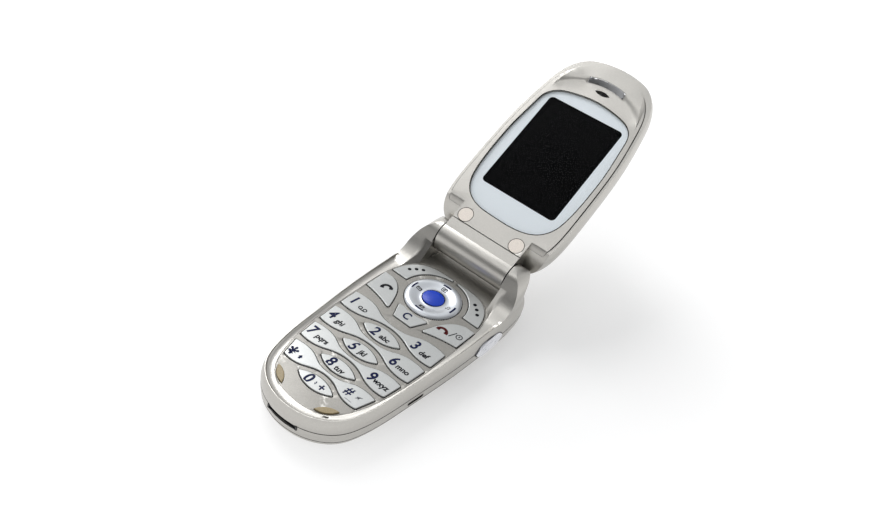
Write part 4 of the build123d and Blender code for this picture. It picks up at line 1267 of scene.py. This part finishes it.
@dataclass(frozen=True)
class SeamLine:
    """The dark line that a joint between two covers shows.

    Attributes:
        node: The node whose outline the joint follows.
        plane: The plane that the outline lies in.
        levels: Lowest and highest level that the outline is read from, in millimetres.
        inner: Start of the line across the outline, outwards, in millimetres.
        outer: End of the line across the outline, outwards, in millimetres.
        bottom: Level of the line's start.
        top: Level of the line's end.
        body: The body that carries it.
        start: The line is left out below this place along the plane.
    """

    node: str
    plane: Frame2D
    levels: tuple[float, float]
    inner: float
    outer: float
    bottom: float
    top: float
    body: str
    start: float = -1000.0

    def build(self) -> bpy.types.Object:
        """Makes the line.

        Returns:
            The line's object.
        """
        loop = self.plane.flat(self.node, *self.levels)
        count = len(loop)
        rows: list[tuple[Vector, Vector]] = []
        for index, point in enumerate(loop):
            along = (loop[(index + 1) % count] - loop[index - 1]).normalized()
            out = Vector((along.y, -along.x))
            rows.append((point + out * self.inner, point + out * self.outer))
        work = bmesh.new()
        pairs = [
            (
                work.verts.new((inner.x * MM, inner.y * MM, self.bottom * MM)),
                work.verts.new((outer.x * MM, outer.y * MM, self.top * MM)),
            )
            for inner, outer in rows
        ]
        for index in range(count):
            first, last = pairs[index], pairs[(index + 1) % count]
            if min(loop[index].y, loop[(index + 1) % count].y) > self.start:
                work.faces.new((first[0], first[1], last[1], last[0]))
        loose = [vertex for vertex in work.verts if not vertex.link_faces]
        bmesh.ops.delete(work, geom=loose, context="VERTS")
        mesh = bpy.data.meshes.new("seam_" + self.node)
        work.to_mesh(mesh)
        work.free()
        mesh.transform(self.plane.matrix)
        line = mesh_object("seam_" + self.node, mesh)
        dress(line, Finishes.GAP)
        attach(line, self.body)
        return line


@dataclass
class Seams:
    """Every joint line between covers, and the shadowed walls between the keys."""

    keys: tuple[str, ...] = (
        "key_strip_1_3", "key_strip_4_6", "key_strip_7_9", "key_strip_star_hash", "key_2", "key_5", "key_8",
        "key_0", "key_soft_left", "key_soft_right", "key_send", "key_end", "key_clear", "nav_ring", "nav_ok",
    )
    dark_below: float = 9.6

    def build(self) -> None:
        """Makes the lines and darkens the walls."""
        table = Frame2D(Matrix.Identity(4))
        lid = Frame2D(flip_matrix())
        lines = (
            SeamLine("rear_cover", table, (6.2, 6.31), 0.03, 0.03, 6.26, 6.48, Side.LOWER.value),
            SeamLine("battery_cover", table, (2.85, 2.95), 0.03, 0.03, 2.84, 3.02, "battery_cover_body"),
            SeamLine("inner_cover", lid, (3.6, 3.7), 0.0, 0.24, 4.535, 4.535, Side.UPPER.value, 13.0),
            SeamLine("display_window", lid, (4.7, 4.9), -0.14, 0.16, 4.862, 4.862, Side.UPPER.value),
        )
        for line in lines:
            line.build()
        for node in self.keys:
            self.darken(frame["nodes"][node], self.dark_below)
        self.cap_rings(lid)
        LOG.info("seams: %d lines, %d keys darkened", len(lines), len(self.keys))

    def darken(self, obj: bpy.types.Object, level: float) -> None:
        """Gives the faces of an object that lie below a level a dark finish.

        Args:
            obj: The object.
            level: The level in millimetres.
        """
        obj.data.materials.append(Finishes.GAP.value.material())
        for face in obj.data.polygons:
            if face.center.z < level * MM:
                face.material_index = 1

    def cap_rings(self, plane: Frame2D) -> None:
        """Makes the thin dark ring round each screw cap.

        Args:
            plane: The flip's own plane.
        """
        rings = Stencil()
        for x in (-10.17, 10.17):
            rings.arc((x, 8.36), 2.58, 0.2, 0, 360)
        mesh = rings.mesh("cap_rings")
        mesh.transform(plane.matrix @ Matrix.Translation((0, 0, 4.858 * MM)))
        ring = mesh_object("cap_rings", mesh)
        dress(ring, Finishes.GAP)
        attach(ring, Side.UPPER.value)


@dataclass
class SideKey:
    """The oval pad and its two small marks on the side key.

    Attributes:
        middle: The key's middle along the phone and its height, in millimetres.
        face: How far out the key's face stands, in millimetres.
        sides: Steps round the pad.
        gap_sides: Steps round the dark line.
    """

    middle: Place = (18.56, 6.3)
    face: float = 22.5
    sides: int = 48
    gap_sides: int = 64

    def oval(self, half: float, depth: float, proud: float, name: str) -> bpy.types.Mesh:
        """A raised lens-shaped pad that faces the phone's right side.

        Args:
            half: Half its length in millimetres.
            depth: Half its height in millimetres.
            proud: How far it stands out in millimetres.
            name: The mesh's name.

        Returns:
            The mesh, in place.
        """
        work = bmesh.new()
        rings = ((0.0, -0.05), (0.0, proud * 0.6), (0.18, proud))
        levels = []
        for inset, out in rings:
            ring = []
            for step in range(self.sides):
                turn = FULL_TURN * step / self.sides
                y = self.middle[0] + (half - inset) * math.cos(turn)
                z = self.middle[1] + (depth - inset) * math.sin(turn) * (1 - 0.12 * math.cos(turn) ** 2)
                ring.append(work.verts.new(((self.face + out) * MM, y * MM, z * MM)))
            levels.append(ring)
        for low, high in zip(levels, levels[1:]):
            for step in range(self.sides):
                after = (step + 1) % self.sides
                work.faces.new((low[step], low[after], high[after], high[step]))
        work.faces.new(levels[-1])
        work.faces.new(list(reversed(levels[0])))
        bmesh.ops.recalc_face_normals(work, faces=work.faces)
        made = bpy.data.meshes.new(name)
        work.to_mesh(made)
        work.free()
        return made

    def gap(self) -> None:
        """Makes the dark line round the side key."""
        work = bmesh.new()
        rows = []
        for step in range(self.gap_sides):
            turn = FULL_TURN * step / self.gap_sides
            pair = []
            for grow in (-0.02, 0.30):
                across, rise = math.cos(turn), math.sin(turn)
                y = self.middle[0] + (6.8 + grow) * across
                z = self.middle[1] + (2.6 + grow) * math.copysign(abs(rise) ** 1.12, rise)
                pair.append(work.verts.new(((self.face - 0.46) * MM, y * MM, z * MM)))
            rows.append(pair)
        for index, pair in enumerate(rows):
            after = rows[(index + 1) % len(rows)]
            work.faces.new((pair[0], pair[1], after[1], after[0]))
        mesh = bpy.data.meshes.new("side_key_gap")
        work.to_mesh(mesh)
        work.free()
        line = mesh_object("side_key_gap", mesh)
        dress(line, Finishes.GAP)
        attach(line, Side.LOWER.value)

    def build(self) -> None:
        """Makes the pad, the marks and the dark line."""
        self.gap()
        pad = mesh_object("side_key_pad", self.oval(4.4, 1.35, 0.14, "side_key_pad"))
        dress(pad, Finishes.SIDE_KEY)
        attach(pad, "side_rocker_body")
        for place in (-2.6, 2.6):
            mark = bpy.data.meshes.new("side_key_mark")
            work = bmesh.new()
            bmesh.ops.create_cube(work, size=1.0)
            work.to_mesh(mark)
            work.free()
            centre = Vector((self.face + 0.145, self.middle[0] + place, self.middle[1])) * MM
            mark.transform(Matrix.Translation(centre) @ Matrix.Diagonal((0.03 * MM, 0.9 * MM, 0.16 * MM, 1)))
            bar = mesh_object("side_key_mark", mark)
            dress(bar, Finishes.GREY_INK)
            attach(bar, "side_rocker_body")
        LOG.info("side key ready")


@dataclass
class SideSlot:
    """The dark face of the slot on the right side wall.

    Attributes:
        middle: The slot's middle along the phone and its height, in millimetres.
        half: Half its length and half its height.
        columns: Steps along it.
        rows: Steps up it.
        start: Where the rays that find the wall start, across the phone.
        nearest: The least distance of the wall from the phone's middle.
        proud: How far the face stands out.
    """

    middle: Place = (-13.8, 4.5)
    half: Place = (3.2, 0.62)
    columns: int = 36
    rows: int = 4
    start: float = 40.0
    nearest: float = 19.5
    proud: float = 0.05

    def build(self) -> None:
        """Lays a dark rounded patch over the slot's window."""
        tree = self.wall()
        length, height = self.half
        work = bmesh.new()
        grid = []
        for column in range(self.columns + 1):
            along = -1 + 2 * column / self.columns
            into_end = max(0.0, abs(along) * length - length + height)
            rounding = math.sqrt(max(0.02, 1 - into_end ** 2 / height ** 2))
            points = []
            for row in range(self.rows + 1):
                rise = (-1 + 2 * row / self.rows) * rounding
                y, z = self.middle[0] + along * length, self.middle[1] + rise * height
                place = Vector((self.start, y, z)) * MM
                hit = tree.ray_cast(place, Vector((-1, 0, 0)))[0]
                face = max(hit.x if hit else 0, self.nearest * MM) + self.proud * MM
                points.append(work.verts.new((face, place.y, place.z)))
            grid.append(points)
        for first, last in zip(grid, grid[1:]):
            for row in range(self.rows):
                work.faces.new((first[row], last[row], last[row + 1], first[row + 1]))
        mesh = bpy.data.meshes.new("slot_face")
        work.to_mesh(mesh)
        work.free()
        patch = mesh_object("slot_face", mesh)
        dress(patch, Finishes.GAP)
        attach(patch, Side.LOWER.value)
        LOG.info("side slot ready")

    def wall(self) -> BVHTree:
        """The side wall with the slot's window, for rays to find.

        Returns:
            The two surfaces in one tree.
        """
        points: list[Vector] = []
        faces: list[tuple[int, ...]] = []
        for node in ("rear_cover", "infrared_window"):
            mesh = frame["nodes"][node].data
            before = len(points)
            points += [vertex.co.copy() for vertex in mesh.vertices]
            faces += [tuple(index + before for index in face.vertices) for face in mesh.polygons]
        return BVHTree.FromPolygons(points, faces)


@dataclass(frozen=True)
class Lamp:
    """One soft light that points at the phone.

    Attributes:
        name: The light's name.
        place: Its place in metres.
        wide: Its width in metres.
        high: Its height in metres.
        power: Its power in watts.
        aim: The place that it points at, in metres.
    """

    name: str
    place: tuple[float, float, float]
    wide: float
    high: float
    power: float
    aim: tuple[float, float, float] = (0.0, 0.03, 0.01)

    def build(self) -> None:
        """Makes the light."""
        light = bpy.data.lights.new(self.name, "AREA")
        light.shape = "RECTANGLE"
        light.size = self.wide
        light.size_y = self.high
        light.energy = self.power
        lamp = bpy.data.objects.new(self.name, light)
        bpy.context.scene.collection.objects.link(lamp)
        lamp.location = self.place
        heading = Vector(self.aim) - Vector(self.place)
        lamp.rotation_euler = heading.to_track_quat("-Z", "Y").to_euler()
        lamp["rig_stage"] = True


@dataclass
class Studio:
    """A plain pale floor, a pale surround and soft lights.

    Attributes:
        floor_size: The floor's side in metres.
        floor_drop: How far the floor lies below the phone, in millimetres.
        glow: The floor's own light, which whitens it away from the phone.
        middle: The place on the floor that the whitening is measured from, in metres.
        lamps: The soft lights.
    """

    floor_size: float = 3.0
    floor_drop: float = 0.02
    glow: float = 1.2
    middle: tuple[float, float, float] = (0.0, 0.05, 0.0)
    lamps: tuple[Lamp, ...] = (
        Lamp("key", (-0.46, 0.22, 0.50), 0.34, 0.40, 2.5),
        Lamp("top", (-0.10, -0.25, 0.70), 0.30, 0.30, 0.45),
        Lamp("back", (0.20, 0.62, 0.34), 0.50, 0.22, 0.25),
    )

    def build(self) -> None:
        """Makes the floor, the surround and the lights."""
        self.floor()
        self.surround()
        for lamp in self.lamps:
            lamp.build()
        LOG.info("studio ready")

    def floor(self) -> None:
        """Makes the floor."""
        work = bmesh.new()
        bmesh.ops.create_grid(work, x_segments=1, y_segments=1, size=self.floor_size / 2)
        mesh = bpy.data.meshes.new("floor")
        work.to_mesh(mesh)
        work.free()
        plane = mesh_object("floor", mesh)
        plane.location.z = -self.floor_drop * MM
        made = bpy.data.materials.new("Pale floor")
        made.use_nodes = True
        graph = Graph(made.node_tree)
        noise = graph.noise(0.02, 5.0)
        tone = graph.span(noise, 0.3, 0.7, 0.95, 0.98)
        colour = graph.add("CombineColor", {0: tone, 1: tone, 2: tone}).outputs[0]
        matt = {"Base Color": colour, "Roughness": 0.9, "Specular IOR Level": 0.1}
        shader = graph.add("BsdfPrincipled", matt)
        place = graph.add("NewGeometry").outputs["Position"]
        away = graph.add("VectorMath", {0: place, 1: self.middle}, operation="DISTANCE").outputs["Value"]
        glow = graph.add("Emission", {"Color": (1, 1, 1, 1), "Strength": self.glow})
        share = graph.span(away, 0.05, 0.17, 0.34, 1.0)
        mixed = graph.add("MixShader", {0: share, 1: shader.outputs[0], 2: glow.outputs[0]})
        graph.add("OutputMaterial", {"Surface": mixed.outputs[0]})
        plane.data.materials.append(made)
        plane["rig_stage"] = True

    def surround(self) -> None:
        """Makes the world, the same to every ray: a white band round the horizon, a soft gradient above it."""
        world = bpy.data.worlds.new("Surround")
        bpy.context.scene.world = world
        world.use_nodes = True
        graph = Graph(world.node_tree)
        ray = graph.add("TexCoord").outputs["Generated"]
        shade = graph.span(graph.toward(ray, (0.45, -0.75, 0.25)), -0.25, 0.66, 1.05, 0.10)
        panel = graph.span(graph.toward(ray, (-0.40, -0.05, 0.92)), 0.30, 0.97, 0.34, 1.05)
        strength = graph.math("MULTIPLY", shade, panel)
        soft = graph.add("Background", {"Color": (0.97, 0.985, 1.0, 1), "Strength": strength})
        white = graph.add("Background", {"Color": (1, 1, 1, 1), "Strength": 1.0})
        height = graph.add("SeparateXYZ", {0: ray}).outputs[2]
        band = graph.span(height, 0.26, 0.42, 1.0, 0.0)
        mixed = graph.add("MixShader", {0: band, 1: soft.outputs[0], 2: white.outputs[0]})
        graph.add("OutputWorld", {"Surface": mixed.outputs[0]})


@dataclass(frozen=True)
class CameraRig:
    """The camera fitted to the photograph.

    Attributes:
        place: Its place in millimetres.
        right: The picture's right, in the shared frame.
        down: The picture's down, in the shared frame.
        ahead: The way it looks.
        lens: Focal length in millimetres.
        sensor: Width of the sensor in millimetres.
        near: Nearest distance that it sees, in metres.
        far: Farthest distance that it sees, in metres.
    """

    place: tuple[float, float, float] = (94.360, -151.927, 180.315)
    right: tuple[float, float, float] = (0.76714961, 0.61338044, 0.18773893)
    down: tuple[float, float, float] = (0.50809925, -0.40239476, -0.76152059)
    ahead: tuple[float, float, float] = (-0.39155667, 0.67959023, -0.62035513)
    lens: float = 34.345
    sensor: float = 36.0
    near: float = 0.01
    far: float = 20.0

    def build(self) -> bpy.types.Object:
        """Makes the camera.

        Returns:
            The camera.
        """
        data = bpy.data.cameras.new("camera")
        data.lens = self.lens
        data.sensor_width = self.sensor
        data.sensor_fit = "HORIZONTAL"
        data.clip_start = self.near
        data.clip_end = self.far
        camera = bpy.data.objects.new("camera", data)
        bpy.context.scene.collection.objects.link(camera)
        rows = (Vector(self.right), -Vector(self.down), -Vector(self.ahead))
        axes = Matrix(rows).transposed().to_4x4()
        camera.matrix_world = Matrix.Translation(Vector(self.place) * MM) @ axes
        bpy.context.scene.camera = camera
        LOG.info("camera ready")
        return camera


def sizes() -> dict:
    """Returns:
        The bounds as plain lists.
    """
    return json.loads(json.dumps(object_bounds(), default=list))


def main() -> None:
    """Builds the whole scene."""
    before = sizes()
    scene = bpy.context.scene
    scene.view_settings.view_transform = "Standard"
    Housing().build()
    Seams().build()
    Keypad().build()
    Navigation().build()
    SideKey().build()
    SideSlot().build()
    Studio().build()
    CameraRig().build()
    bpy.context.view_layer.update()
    {"cad": before, "scene": sizes()}


if __name__ == "__main__":
    main()
